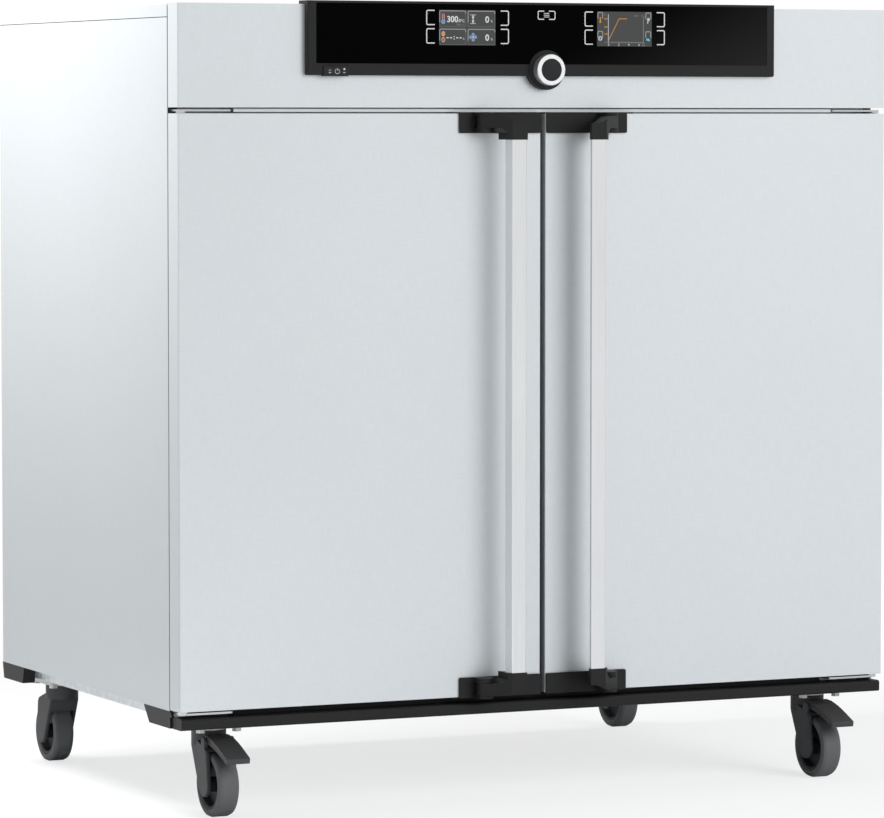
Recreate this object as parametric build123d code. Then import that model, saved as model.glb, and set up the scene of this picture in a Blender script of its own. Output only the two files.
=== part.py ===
from build123d import *
import os

# Laboratory oven on casters: a steel cabinet with an insulated chamber, two hinged doors with
# lever handles, a control panel with two screens and a knob, and four braked or free casters.
# Built in millimetres with x to the right, y from the door fronts to the rear and z up from the
# floor. The finished pieces are moved so that the origin is the middle of the standing box.

# Cabinet outside
WIDTH = 1224.0
DEPTH = 784.0
HEIGHT = 1247.0
PANEL_LIP = 5.5            # the control panel stands this far above the cabinet top
PANEL_BOTTOM = 168.0       # lower edge of the side panels
SHEET = 1.5
EDGE_ROUND = 2.5
SIDE_FLANGE = 18.0
COVER_SKIRT = 20.0
SEAM = 1.2
COVER_OVERLAP = 14.0
FIT = 0.3                  # play between pieces that are slid together
RUNNING_FIT = 0.05         # play between pieces that turn in each other
SIDE_X = WIDTH / 2
CABINET_TOP = HEIGHT - PANEL_LIP
SEAM_Z = CABINET_TOP - COVER_SKIRT
REAR_INSIDE = DEPTH - 2 * SHEET

# Doors and control fascia
DOOR_DEPTH = 39.0
FRONT_GAP = 3.5            # between the doors and the cabinet behind them
DOOR_GAP = 8.0             # between the two doors
DOOR_RISE = 2.0            # the doors start this far above the side panels' lower edge
FASCIA_HEIGHT = 157.0
FASCIA_GAP = 9.0           # between the doors and the fascia above them
DOOR_ROUND = 2.0
PLUG_DEPTH = 20.0
PLUG_CLEARANCE = 6.0
BACK_PLATE = 1.5
GASKET_WIDTH = 14.0
GASKET_SPACE = 3.0
SEAL_WIDTH = 6.0
SEAL_FRONT = 14.0
SEAL_BACK = 37.0
DOOR_BOTTOM = PANEL_BOTTOM + DOOR_RISE
FASCIA_BOTTOM = CABINET_TOP - FASCIA_HEIGHT
DOOR_TOP = FASCIA_BOTTOM - FASCIA_GAP
DOOR_INNER_X = DOOR_GAP / 2
CABINET_Y = DOOR_DEPTH + FRONT_GAP
FRAME_Y = CABINET_Y + SHEET

# Door hinges: a pin on a bracket enters a bearing block in the door
HINGE_IN = 11.0            # from the outer edge of the door
HINGE_BACK = 14.0          # from the front of the door
HINGE_PIN_R = 4.0
HINGE_PIN_LENGTH = 26.0
HINGE_BOSS_R = 8.0
HINGE_PLATE = 3.0
HINGE_PLATE_WIDTH = 87.0
HINGE_PLATE_FRONT = 7.0
HINGE_PLATE_BESIDE = 6.0   # the plate starts this far beside the pin
HINGE_CLEAR = 0.5
HINGE_BOSS_RISE = 2.5
BEARING_BLOCK = 18.0
BEARING_HEIGHT = 40.0
HINGE_X = SIDE_X - HINGE_IN

# Chamber, placed by the thickness of the walls round it
SIDE_WALL = 92.0
LOWER_WALL = 92.0          # from the door's bottom to the chamber's floor
UPPER_WALL = 93.5          # from the chamber's ceiling to the door's top
REAR_WALL = 138.0
FRAME_SHEET = 2.0
LINER = 1.5
CHAMBER_X = SIDE_X - SIDE_WALL
CHAMBER_FRONT = FRAME_Y + FRAME_SHEET
CHAMBER_BACK = DEPTH - REAR_WALL
CHAMBER_DEPTH = CHAMBER_BACK - CHAMBER_FRONT
CHAMBER_BOTTOM = DOOR_BOTTOM + LOWER_WALL
CHAMBER_TOP = DOOR_TOP - UPPER_WALL
CHAMBER_HEIGHT = CHAMBER_TOP - CHAMBER_BOTTOM
CHAMBER_MID = (CHAMBER_BOTTOM + CHAMBER_TOP) / 2
INSULATION_BACK = 54.0
INSULATION_ABOVE = 9.5     # above the door's top

# Shelf ribs in the chamber's side walls
RIB_PITCH = 80.0
RIB_FREE = 60.0            # height below the ceiling without a rib
RIB_DEPTH = 14.0
RIB_BASE = 18.0
RIB_TIP = 8.0
RIB_START = 30.0
RIB_END = 44.0             # before the chamber's rear wall
RIB_COUNT = int((CHAMBER_HEIGHT - RIB_FREE) / RIB_PITCH)

# Baffle before the fan
FAN_SPACE = 37.5
BAFFLE = 1.5
INTAKE_R = 75.0
BAFFLE_SLOT = (8.0, 300.0)
BAFFLE_SLOTS_IN = (90.0, 50.0)
BAFFLE_BACK = CHAMBER_BACK - FAN_SPACE
BAFFLE_FRONT = BAFFLE_BACK - BAFFLE

# Heating bands
HEATER_COUNT = 4
HEATER_FIRST = 80.0
HEATER_LAST = 100.0        # from the last band to the chamber's rear wall
HEATER_WIDTH = 30.0
HEATER_THICKNESS = 5.0
HEATER_SPACE = 8.0
HEATER_RUN = CHAMBER_DEPTH - HEATER_FIRST - HEATER_LAST - HEATER_WIDTH
HEATER_PITCH = HEATER_RUN / (HEATER_COUNT - 1)

# Shelves
SHELF_RIBS = (RIB_COUNT * 3 // 8, RIB_COUNT * 6 // 8)
SHELF_SIDE_PLAY = 6.0
SHELF_BEFORE = 31.0        # from the chamber's mouth to the shelf
SHELF_BEHIND = 10.0
SHELF_LIFT = 0.3
SHELF_BAR = (5.0, 10.0)
SHELF_WIRE_R = 2.0
SHELF_WIRES = 24
SHELF_CROSS_BARS = 2
SHELF_BACK = BAFFLE_FRONT - SHELF_BEHIND
SHELF_DEPTH = SHELF_BACK - CHAMBER_FRONT - SHELF_BEFORE

# Fan, motor and exhaust
FAN_R = 100.0
FAN_WIDTH = 24.0
FAN_PLATE = 1.5
FAN_BLADES = 18
FAN_HUB_R = 16.0
FAN_FRONT_GAP = 5.0
BLADE_SHARE = 0.34
BLADE_LEAN = 35.0
SHAFT_R = 5.0
SHAFT_IN_MOTOR = 22.0
SHAFT_HOLE_R = 12.0
MOTOR_R = 46.0
MOTOR_LENGTH = 58.0
MOTOR_FLANGE = 4.0
MOTOR_FLANGE_SIZE = 120.0
EXHAUST_IN = 140.0
EXHAUST_DROP = 52.0
EXHAUST_X = CHAMBER_X - EXHAUST_IN
EXHAUST_Z = CHAMBER_TOP - EXHAUST_DROP
EXHAUST_R = 30.0
EXHAUST_WALL = 1.5
EXHAUST_REACH = 25.0
EXHAUST_PLAY = 0.5
EXHAUST_COLLAR = (37.0, 2.0)
FLAP_PLAY = 0.6
FLAP_THICKNESS = 1.5
FLAP_BEHIND = 32.0         # from the insulation to the flap's spindle
FLAP_Y = CHAMBER_BACK + LINER + INSULATION_BACK + FLAP_BEHIND
SPINDLE_R = 3.0
ACTUATOR = (40.0, 36.0, 30.0)
ACTUATOR_SEAT = 6.0
PROBE_R = 3.0
PROBE_X = (-30.0, 30.0)
PROBE_DROP = 15.0
PROBE_INSIDE = 70.0
VENT_LENGTH = 90.0
VENT_WIDTH = 6.0
VENT_ROWS = 8
VENT_PITCH = 16.0
VENT_X = 120.0
VENT_Z = CHAMBER_MID - VENT_PITCH * (VENT_ROWS - 1) / 2
GRILLE_BARS = 6
GRILLE_PITCH = 11.0
GRILLE_BAR = 3.0
INLET_IN = 182.0
INLET_RISE = 132.0
INLET_X = INLET_IN - SIDE_X
INLET_Z = PANEL_BOTTOM + INLET_RISE
INLET_R = 14.0
INLET_REACH = 18.0
INLET_NUT = 6.0

# Control panel
PANEL_WIDTH = 808.0
PANEL_HEIGHT = 113.5
PANEL_FRONT = 12.0
PANEL_SIDE_RIM = 14.0
PANEL_LOW_RIM = 18.0
PANEL_TOP_RIM = 3.5
PANEL_RIM_INSIDE = 8.0
PANEL_LIP_BACK = 22.0
PANEL_ROUND = 3.0
PANEL_LOW = HEIGHT - PANEL_HEIGHT
GLASS = 3.0
GLASS_RECESS = 0.3
SCREEN_X = 136.0
SCREEN_DROP = 40.0
SCREEN_Z = HEIGHT - SCREEN_DROP
SCREEN_CASE = (106.0, 62.0, 14.0)
BOARD = (420.0, 70.0, 26.0)
KNOB_RISE = 9.5
KNOB_Z = PANEL_LOW + KNOB_RISE
BOSS_R = 31.0
BOSS_FRONT = 14.0
BOSS_GROOVE = 1.2
BOSS_ROUND = 1.5
ENCODER = 24.0
RING_R = 24.0
RING_EDGE = 1.0
RING_INNER_R = 17.5
RING_FRONT = 30.0
RING_WEB = 4.0
KNOB_SHAFT_R = 6.0
KNOB_SHAFT_LENGTH = 20.0
BUTTON_R = 17.0
BUTTON_FRONT = 31.0
BUTTON_DOME = 1.5
DOME_MIDDLE = (0.52, 0.27)  # a point of its curve, as shares of the radius and the rise
BUTTON_SPACE = 1.0         # between the button and the ring's web when it is pressed
BUTTON_TRAVEL = 1.2
STEM_R = 3.0
STEM_LENGTH = 24.0
SWITCH_IN = 46.0
SWITCH_X = SWITCH_IN - PANEL_WIDTH / 2
SWITCH_SIZE = (42.0, 15.5)
SWITCH_DROP = 1.5
SWITCH_FRONT = 14.0
SWITCH_THICKNESS = 8.0
SWITCH_TRAVEL = 1.5
SWITCH_ROUND = 1.0

# Handles
HANDLE_X = 108.0
HANDLE_REACH = 59.0
MOUNT_IN = 5.0
MOUNT_WIDTH = 140.0
MOUNT_HEIGHT = 32.0
MOUNT_PLATE = 4.0
MOUNT_WRAP = 1.7
MOUNT_WRAP_BACK = 20.0
MOUNT_WRAP_SIDE = 12.0
KNUCKLE_R = 13.0
KNUCKLE_FLARE = 13.5
ARM_GAP = 0.5
ARM_UNDER = 8.0            # the mount's lower knuckle
ARM_HEIGHT = 18.5
HANDLE_PIN_R = 4.0
BAR_CLEAR = 10.0           # the bar starts this far from the mount
BAR_FRONT = 24.5
BAR_OUTER = 21.0
BAR_INNER = 7.5
BAR_LEAN = 5.5
BAR_IN = 56.0              # inner edge of the bar from the middle of the oven
BAR_ROUND = 2.5
CAP_WALL = 0.8
CAP_HEIGHT = 25.5
HANDLE_Y = -(MOUNT_PLATE + ARM_GAP + KNUCKLE_R)

# Angles that carry the fascia
BRACKET_IN = 132.0
BRACKET_X = SIDE_X - BRACKET_IN
BRACKET_WIDTH = 60.0
BRACKET_HEIGHT = 24.0

# Catches that hold the doors shut
CATCH_X = 66.0
CATCH_WIDTH = 30.0
CATCH_HEIGHT = 4.0
CATCH_REACH = 14.0
CATCH_AWAY = 3.0           # above or below the door
CATCH_ROUND = 3.0

# Base
BEAM_BOTTOM = 141.5
BEAM_HEIGHT = 17.5
BEAM_SIDE = 3.0
BEAM_ROUND = 4.0
BEAM_WALL = 3.0
CHEEK_THICK = 4.0
CORNER_THICK = 21.0
CHEEK_END = 148.0
CHEEK_SLANT = 23.0
CHEEK_STEP = 7.5
BLOCK_LENGTH = 101.5
BLOCK_SLANT = 6.0
RAIL_IN = 21.0
RAIL_WIDTH = 50.0
RAIL_BOTTOM = 150.0
RAIL_WALL = 2.0
CROSS_WIDTH = 56.0

# Casters
CASTER_IN = 85.0
CASTER_X = SIDE_X - CASTER_IN
CASTER_FRONT_Y = 92.0
CASTER_REAR_IN = 52.0
CASTER_REAR_Y = DEPTH - CASTER_REAR_IN
CASTER_HEIGHT = BEAM_BOTTOM
CASTER_TRAIL = 36.0
WHEEL_R = 50.0
TYRE_WIDTH = 34.0
TYRE_ROUND = 6.0
TYRE_FLANK = 2.0
RIM_R = 38.0
RIM_WIDTH = 28.0
RIM_WALL = 4.0
RIM_SLOPE = 2.0
HUB_R = 12.0
HUB_WIDTH = 36.0
WEB_WIDTH = 8.0
AXLE_R = 4.0
CASTER_PLATE = (84.0, 96.0, 5.0)
BOLT_SPACING = (60.0, 80.0)
BOLT_HEAD = (7.5, 6.0)
RACE_R = 27.0
RACE_HEIGHT = 5.0
KING_PIN_R = 6.0
KING_PIN_LENGTH = 19.0
FORK_GAP = 0.3
FORK_DISC = 11.0
FORK_HALF = 25.0
FORK_INSIDE = 19.5
FORK_FOOT_R = 19.0
FORK_CURVE_R = 12.0
FORK_FRONT_DROP = 12.0     # the front curve lies this much lower
FORK_FRONT_AHEAD = 2.0     # and this far before the axle
LUG_FOOT = 4.0
WHEEL_CLEAR = 3.0
FORK_ROUND = 2.5

# Brake pedal: its side view is given from the pivot, to the rear and up
PEDAL_PIVOT = (36.0, 116.0)
PEDAL_PIN_R = 2.5
PEDAL_LUG_R = 6.5
PEDAL_HALF = 19.2
PEDAL_REACH = 119.0
PEDAL_TIP = 90.0
PEDAL_THICK = 8.0
PEDAL_TIP_BACK = 2.0       # the tip's lower edge lies this far back
PEDAL_UPPER = ((6.5, 9.0), (-22.0, 5.0), (-52.0, -5.0))
PEDAL_LOWER = ((-50.0, -14.0), (-24.0, -6.5), (6.5, -3.0))

# The finished box, whose middle becomes the origin
REAR_MOST = max(DEPTH + EXHAUST_REACH, CASTER_REAR_Y + CASTER_TRAIL + WHEEL_R)
MIDDLE_Y = (REAR_MOST - HANDLE_REACH) / 2
PARTS = {}


def block(x0, x1, y0, y1, z0, z1):
    """A box given by its lowest and highest corners."""
    middle = Pos((x0 + x1) / 2, (y0 + y1) / 2, (z0 + z1) / 2)
    return middle * Box(abs(x1 - x0), abs(y1 - y0), abs(z1 - z0))


def rod_x(x0, x1, y, z, radius):
    return Pos((x0 + x1) / 2, y, z) * Rot(0, 90, 0) * Cylinder(radius, abs(x1 - x0))


def rod_y(x, y0, y1, z, radius):
    return Pos(x, (y0 + y1) / 2, z) * Rot(90, 0, 0) * Cylinder(radius, abs(y1 - y0))


def rod_z(x, y, z0, z1, radius):
    return Pos(x, y, (z0 + z1) / 2) * Cylinder(radius, abs(z1 - z0))


def across_x(points, x0, x1):
    """A prism along x from an outline of (y, z) points."""
    outline = Polyline(*[(x0, y, z) for y, z in points], close=True)
    return extrude(make_face(outline), amount=x1 - x0, dir=(1, 0, 0))


def across_y(points, y0, y1):
    """A prism along y from an outline of (x, z) points."""
    outline = Polyline(*[(x, y0, z) for x, z in points], close=True)
    return extrude(make_face(outline), amount=y1 - y0, dir=(0, 1, 0))


def rounded(shape, axis, radius, keep=lambda edge: True):
    """The straight edges along one axis that pass the test are rounded."""
    edges = [edge for edge in shape.edges().filter_by(axis) if keep(edge.center())]
    return fillet(edges, radius)


def other_side(shape):
    return mirror(shape, about=Plane.YZ)


def keep(name, *shapes):
    """Stores the solids of one piece and moves them to the common origin."""
    solids = [solid for shape in shapes for solid in shape.solids()]
    PARTS[name] = [Pos(0, -MIDDLE_Y, 0) * solid for solid in solids]


# Cabinet shell

def side_panel():
    """Folded sheet with front, rear and bottom flanges and a stepped upper edge."""
    outer = block(-SIDE_X, -SIDE_X + SIDE_FLANGE, CABINET_Y, DEPTH, PANEL_BOTTOM, SEAM_Z - SEAM)
    outer = rounded(outer, Axis.Z, EDGE_ROUND, lambda c: c.X < -SIDE_X + 1)
    hollow = block(-SIDE_X + SHEET, -SIDE_X + SIDE_FLANGE + 1, FRAME_Y, DEPTH - SHEET,
                   PANEL_BOTTOM + SHEET, SEAM_Z)
    step = block(-SIDE_X + SHEET, -SIDE_X + 2 * SHEET, FRAME_Y, DEPTH - SHEET,
                 SEAM_Z - SEAM - COVER_OVERLAP, SEAM_Z + COVER_OVERLAP)
    return outer - hollow + step


def top_cover():
    cover = block(-SIDE_X, SIDE_X, CABINET_Y, DEPTH, SEAM_Z, CABINET_TOP)
    cover = rounded(cover, Axis.Z, EDGE_ROUND)
    rim = [edge for edge in cover.edges() if edge.center().Z > CABINET_TOP - 0.01]
    cover = fillet(rim, SHEET)
    return cover - block(-SIDE_X + SHEET, SIDE_X - SHEET, FRAME_Y, DEPTH - SHEET,
                         SEAM_Z - 1, CABINET_TOP - SHEET)


def rear_panel():
    """Back sheet with vent slots for the motor space and openings for exhaust and inlet."""
    reach = SIDE_X - 2 * SHEET - FIT
    panel = block(-reach, reach, REAR_INSIDE, DEPTH - SHEET,
                  PANEL_BOTTOM + SHEET, SEAM_Z + COVER_OVERLAP)
    slot = SlotOverall(VENT_LENGTH, VENT_WIDTH, mode=Mode.PRIVATE)
    for row in range(VENT_ROWS):
        for side in (-1, 1):
            at = Pos(side * VENT_X, DEPTH, VENT_Z + row * VENT_PITCH) * Rot(90, 0, 0)
            panel -= at * extrude(slot, amount=4 * SHEET, both=True)
    panel -= rod_y(EXHAUST_X, REAR_INSIDE - 1, DEPTH, EXHAUST_Z, EXHAUST_R + EXHAUST_PLAY)
    return panel - rod_y(INLET_X, REAR_INSIDE - 1, DEPTH, INLET_Z, INLET_R)


def floor_pan():
    reach = SIDE_X - SHEET - FIT
    return block(-reach, reach, FRAME_Y + FRAME_SHEET, REAR_INSIDE,
                 PANEL_BOTTOM + SHEET, PANEL_BOTTOM + 2 * SHEET)


def control_fascia():
    """Folded front cover above the doors, open behind, cut out for the control panel."""
    outer = block(-SIDE_X, SIDE_X, 0, DOOR_DEPTH, FASCIA_BOTTOM, CABINET_TOP)
    outer = rounded(outer, Axis.Z, DOOR_ROUND, lambda c: c.Y < 1)
    hollow = block(-SIDE_X + SHEET, SIDE_X - SHEET, SHEET, DOOR_DEPTH + 1,
                   FASCIA_BOTTOM + SHEET, CABINET_TOP - SHEET)
    window = PANEL_WIDTH / 2 - PANEL_SIDE_RIM - PANEL_RIM_INSIDE
    opening = block(-window, window, -1, SHEET + 1, PANEL_LOW + PANEL_LOW_RIM + PANEL_RIM_INSIDE,
                    CABINET_TOP - 2 * SHEET)
    shaft = rod_y(0, -1, SHEET + 1, KNOB_Z, KNOB_SHAFT_R + 2)
    brackets = fascia_brackets()
    return [outer - hollow - opening - shaft] + brackets


def fascia_brackets():
    """Two folded angles that carry the fascia on the front frame."""
    angles = []
    for side in (-1, 1):
        x0 = side * BRACKET_X - BRACKET_WIDTH / 2
        x1 = side * BRACKET_X + BRACKET_WIDTH / 2
        leg = block(x0, x1, SHEET, FRAME_Y, FASCIA_BOTTOM + SHEET, FASCIA_BOTTOM + 2 * SHEET)
        foot = block(x0, x1, FRAME_Y - SHEET, FRAME_Y, FASCIA_BOTTOM + SHEET,
                     FASCIA_BOTTOM + SHEET + BRACKET_HEIGHT)
        angles.append(leg + foot)
    return angles


def front_frame():
    """Plate round the chamber mouth, behind the doors."""
    reach = SIDE_X - 2 * SHEET - FIT
    plate = block(-reach, reach, FRAME_Y, CHAMBER_FRONT, PANEL_BOTTOM + SHEET, CABINET_TOP - SHEET)
    return plate - block(-CHAMBER_X, CHAMBER_X, FRAME_Y - 1, CHAMBER_FRONT + 1,
                         CHAMBER_BOTTOM, CHAMBER_TOP)


# Chamber and what surrounds it

def rib_height(index):
    """Top face of a shelf rib, counted from one at the bottom."""
    return CHAMBER_BOTTOM + index * RIB_PITCH


def rib_outline(index, side, inset):
    """Flat-topped rib, or the dent behind it when it is set in by the wall."""
    top = rib_height(index) - inset
    wall_x = side * (CHAMBER_X + inset)
    tip_x = wall_x - side * RIB_DEPTH
    return [(wall_x, top - RIB_BASE + inset), (tip_x, top - RIB_TIP + inset), (tip_x, top),
            (wall_x, top)]


def chamber_liner():
    """Welded chamber with pressed shelf ribs in both side walls."""
    shell = block(-CHAMBER_X - LINER, CHAMBER_X + LINER, CHAMBER_FRONT, CHAMBER_BACK + LINER,
                  CHAMBER_BOTTOM - LINER, CHAMBER_TOP + LINER)
    shell -= block(-CHAMBER_X, CHAMBER_X, CHAMBER_FRONT - 1, CHAMBER_BACK,
                   CHAMBER_BOTTOM, CHAMBER_TOP)
    start = CHAMBER_FRONT + RIB_START
    stop = CHAMBER_BACK - RIB_END
    for index in range(1, RIB_COUNT + 1):
        for side in (-1, 1):
            shell += across_y(rib_outline(index, side, 0), start, stop)
            shell -= across_y(rib_outline(index, side, LINER), start + LINER, stop - LINER)
    shell -= rod_y(0, CHAMBER_BACK - 1, CHAMBER_BACK + LINER + 1, CHAMBER_MID, SHAFT_HOLE_R)
    shell -= rod_y(EXHAUST_X, CHAMBER_BACK - 1, CHAMBER_BACK + LINER + 1, EXHAUST_Z,
                   EXHAUST_R - EXHAUST_WALL)
    for x in PROBE_X:
        shell -= rod_y(x, CHAMBER_BACK - 1, CHAMBER_BACK + LINER + 1, CHAMBER_TOP - PROBE_DROP,
                       PROBE_R + RUNNING_FIT)
    return shell


def air_baffle():
    """False rear wall: a round grille before the fan and upright air slots at the sides."""
    wall = block(-CHAMBER_X + FIT, CHAMBER_X - FIT, BAFFLE_FRONT, BAFFLE_BACK,
                 CHAMBER_BOTTOM, CHAMBER_TOP - FIT)
    flange = block(-CHAMBER_X + FIT, CHAMBER_X - FIT, BAFFLE_FRONT, CHAMBER_BACK,
                   CHAMBER_BOTTOM, CHAMBER_BOTTOM + BAFFLE)
    wall += flange
    width, length = BAFFLE_SLOT
    for inset in BAFFLE_SLOTS_IN:
        for x in (inset - CHAMBER_X, CHAMBER_X - inset):
            wall -= block(x - width / 2, x + width / 2, BAFFLE_FRONT - 1, BAFFLE_BACK + 1,
                          CHAMBER_MID - length / 2, CHAMBER_MID + length / 2)
    wall -= rod_y(0, BAFFLE_FRONT - 1, BAFFLE_BACK + 1, CHAMBER_MID, INTAKE_R)
    for index in range(-GRILLE_BARS, GRILLE_BARS + 1):
        x = index * GRILLE_PITCH
        half = (INTAKE_R ** 2 - x ** 2) ** 0.5 + 1
        wall += block(x - GRILLE_BAR / 2, x + GRILLE_BAR / 2, BAFFLE_FRONT, BAFFLE_BACK,
                      CHAMBER_MID - half, CHAMBER_MID + half)
    for x in PROBE_X:
        wall -= rod_y(x, BAFFLE_FRONT - 1, BAFFLE_BACK + 1, CHAMBER_TOP - PROBE_DROP, PROBE_R + FIT)
    return wall


def heating_elements():
    """Flat heating bands wrapped round the chamber."""
    bands = []
    inner_x = CHAMBER_X + LINER
    outer_x = inner_x + HEATER_THICKNESS
    for index in range(HEATER_COUNT):
        y0 = CHAMBER_FRONT + HEATER_FIRST + index * HEATER_PITCH
        y1 = y0 + HEATER_WIDTH
        band = block(-outer_x, outer_x, y0, y1, CHAMBER_BOTTOM - LINER - HEATER_THICKNESS,
                     CHAMBER_TOP + LINER + HEATER_THICKNESS)
        bands.append(band - block(-inner_x, inner_x, y0 - 1, y1 + 1, CHAMBER_BOTTOM - LINER,
                                  CHAMBER_TOP + LINER))
    return bands


def cabinet_insulation():
    """Mineral wool between chamber and cabinet."""
    reach = SIDE_X - SHEET
    back = CHAMBER_BACK + LINER
    space = LINER + HEATER_SPACE
    wool = block(-reach, reach, CHAMBER_FRONT, back + INSULATION_BACK,
                 PANEL_BOTTOM + 2 * SHEET, DOOR_TOP + INSULATION_ABOVE)
    wool -= block(-CHAMBER_X - space, CHAMBER_X + space, CHAMBER_FRONT - 1, back,
                  CHAMBER_BOTTOM - space, CHAMBER_TOP + space)
    wool -= rod_y(0, back - 1, back + INSULATION_BACK + 1, CHAMBER_MID, SHAFT_HOLE_R)
    wool -= rod_y(EXHAUST_X, back - 1, back + INSULATION_BACK + 1, EXHAUST_Z, EXHAUST_R)
    for x in PROBE_X:
        wool -= rod_y(x, back - 1, back + INSULATION_BACK + 1, CHAMBER_TOP - PROBE_DROP,
                      PROBE_R + RUNNING_FIT)
    return wool


def temperature_probes():
    """Two rods through the rear wall, each with a collar behind it."""
    probes = []
    z = CHAMBER_TOP - PROBE_DROP
    back = CHAMBER_BACK + LINER + INSULATION_BACK
    for x in PROBE_X:
        rod = rod_y(x, BAFFLE_FRONT - PROBE_INSIDE, back + PROBE_R, z, PROBE_R)
        probes.append(rod + rod_y(x, back, back + 2 * PROBE_R, z, 2 * PROBE_R))
    return probes


def shelf(index):
    """Grid shelf: a flat bar frame, round wires and cross bars below them."""
    bar, height = SHELF_BAR
    half = CHAMBER_X - SHELF_SIDE_PLAY
    back = SHELF_BACK
    front = back - SHELF_DEPTH
    low = rib_height(index) + SHELF_LIFT
    frame = block(-half, half, front, back, low, low + height)
    frame = rounded(frame, Axis.Z, 2 * bar)
    frame -= block(-half + bar, half - bar, front + bar, back - bar, low - 1, low + height + 1)
    wire_z = low + height - SHELF_WIRE_R
    pitch = 2 * (half - bar) / (SHELF_WIRES + 1)
    wires = [rod_y(-half + bar + number * pitch, front + bar, back - bar, wire_z, SHELF_WIRE_R)
             for number in range(1, SHELF_WIRES + 1)]
    cross = []
    for number in range(1, SHELF_CROSS_BARS + 1):
        y = front + number * SHELF_DEPTH / (SHELF_CROSS_BARS + 1)
        cross.append(block(-half + bar, half - bar, y - bar / 2, y + bar / 2, low,
                           wire_z - SHELF_WIRE_R))
    return [frame] + wires + cross


# Fan, motor, exhaust

def fan_wheel():
    """Radial wheel with leaning blades on a shaft that runs into the motor."""
    front = BAFFLE_BACK + FAN_FRONT_GAP
    plate_y = front + FAN_WIDTH
    wheel = rod_y(0, plate_y, plate_y + FAN_PLATE, CHAMBER_MID, FAN_R)
    wheel += rod_y(0, front, plate_y, CHAMBER_MID, FAN_HUB_R)
    shaft_end = motor_front() + SHAFT_IN_MOTOR
    wheel += rod_y(0, front, shaft_end, CHAMBER_MID, SHAFT_R)
    blade = block(-FAN_PLATE / 2, FAN_PLATE / 2, front, plate_y, 0, FAN_R * BLADE_SHARE)
    for number in range(FAN_BLADES):
        turned = Rot(0, number * 360 / FAN_BLADES, 0) * Pos(0, 0, FAN_R * (1 - BLADE_SHARE) - 1)
        wheel += Pos(0, 0, CHAMBER_MID) * turned * Rot(0, BLADE_LEAN, 0) * blade
    return wheel


def motor_front():
    return REAR_INSIDE - MOTOR_FLANGE - MOTOR_LENGTH


def fan_motor():
    """Motor bolted to the rear panel, with a bore for the fan shaft."""
    front = motor_front()
    motor = rod_y(0, front, REAR_INSIDE - MOTOR_FLANGE, CHAMBER_MID, MOTOR_R)
    motor = fillet(motor.edges().filter_by(GeomType.CIRCLE).sort_by(Axis.Y)[0], 4 * SHEET)
    half = MOTOR_FLANGE_SIZE / 2
    flange = block(-half, half, REAR_INSIDE - MOTOR_FLANGE, REAR_INSIDE,
                   CHAMBER_MID - half, CHAMBER_MID + half)
    motor += rounded(flange, Axis.Y, 4 * MOTOR_FLANGE)
    return motor - rod_y(0, front - 1, front + SHAFT_IN_MOTOR + 1, CHAMBER_MID,
                         SHAFT_R + RUNNING_FIT)


def exhaust_tube():
    """Tube from the chamber to behind the oven, with holes for the flap spindle."""
    start = CHAMBER_BACK + LINER
    end = DEPTH + EXHAUST_REACH
    inner = EXHAUST_R - EXHAUST_WALL
    tube = rod_y(EXHAUST_X, start, end, EXHAUST_Z, EXHAUST_R)
    collar_r, collar = EXHAUST_COLLAR
    tube += rod_y(EXHAUST_X, DEPTH - SHEET, DEPTH - SHEET + collar, EXHAUST_Z, collar_r)
    tube -= rod_y(EXHAUST_X, start - 1, end + 1, EXHAUST_Z, inner)
    return tube - rod_x(EXHAUST_X - EXHAUST_R - 1, EXHAUST_X + EXHAUST_R + 1, FLAP_Y, EXHAUST_Z,
                        SPINDLE_R + RUNNING_FIT)


def air_flap():
    """Round flap on a spindle that crosses the tube."""
    radius = EXHAUST_R - EXHAUST_WALL - FLAP_PLAY
    disc = rod_y(EXHAUST_X, FLAP_Y - FLAP_THICKNESS / 2, FLAP_Y + FLAP_THICKNESS / 2,
                 EXHAUST_Z, radius)
    return disc + rod_x(EXHAUST_X - EXHAUST_R, EXHAUST_X + EXHAUST_R + ACTUATOR[0] / 2,
                        FLAP_Y, EXHAUST_Z, SPINDLE_R)


def flap_actuator():
    """Drive box beside the tube, with a bore for the spindle."""
    x0 = EXHAUST_X + EXHAUST_R
    length, width, height = ACTUATOR
    body = block(x0 - ACTUATOR_SEAT, x0 + length, FLAP_Y - width / 2, FLAP_Y + width / 2,
                 EXHAUST_Z - height / 2, EXHAUST_Z + height / 2)
    body -= rod_y(EXHAUST_X, FLAP_Y - width, FLAP_Y + width, EXHAUST_Z, EXHAUST_R)
    return body - rod_x(x0 - 2 * ACTUATOR_SEAT, x0 + length / 2 + 1, FLAP_Y, EXHAUST_Z,
                        SPINDLE_R + RUNNING_FIT)


def mains_inlet():
    """Threaded gland in the rear panel for the supply lead."""
    gland = rod_y(INLET_X, REAR_INSIDE - INLET_REACH, DEPTH - SHEET + INLET_REACH, INLET_Z, INLET_R)
    nut = Pos(INLET_X, DEPTH - SHEET, INLET_Z) * Rot(-90, 0, 0)
    nut = nut * extrude(RegularPolygon(INLET_R + 4, 6), amount=INLET_NUT)
    back_nut = Pos(INLET_X, REAR_INSIDE, INLET_Z) * Rot(90, 0, 0)
    back_nut = back_nut * extrude(RegularPolygon(INLET_R + 4, 6), amount=INLET_NUT - 1)
    bore = rod_y(INLET_X, 0, DEPTH + INLET_REACH, INLET_Z, INLET_R / 2)
    return gland + nut + back_nut - bore


# Control panel

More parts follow.
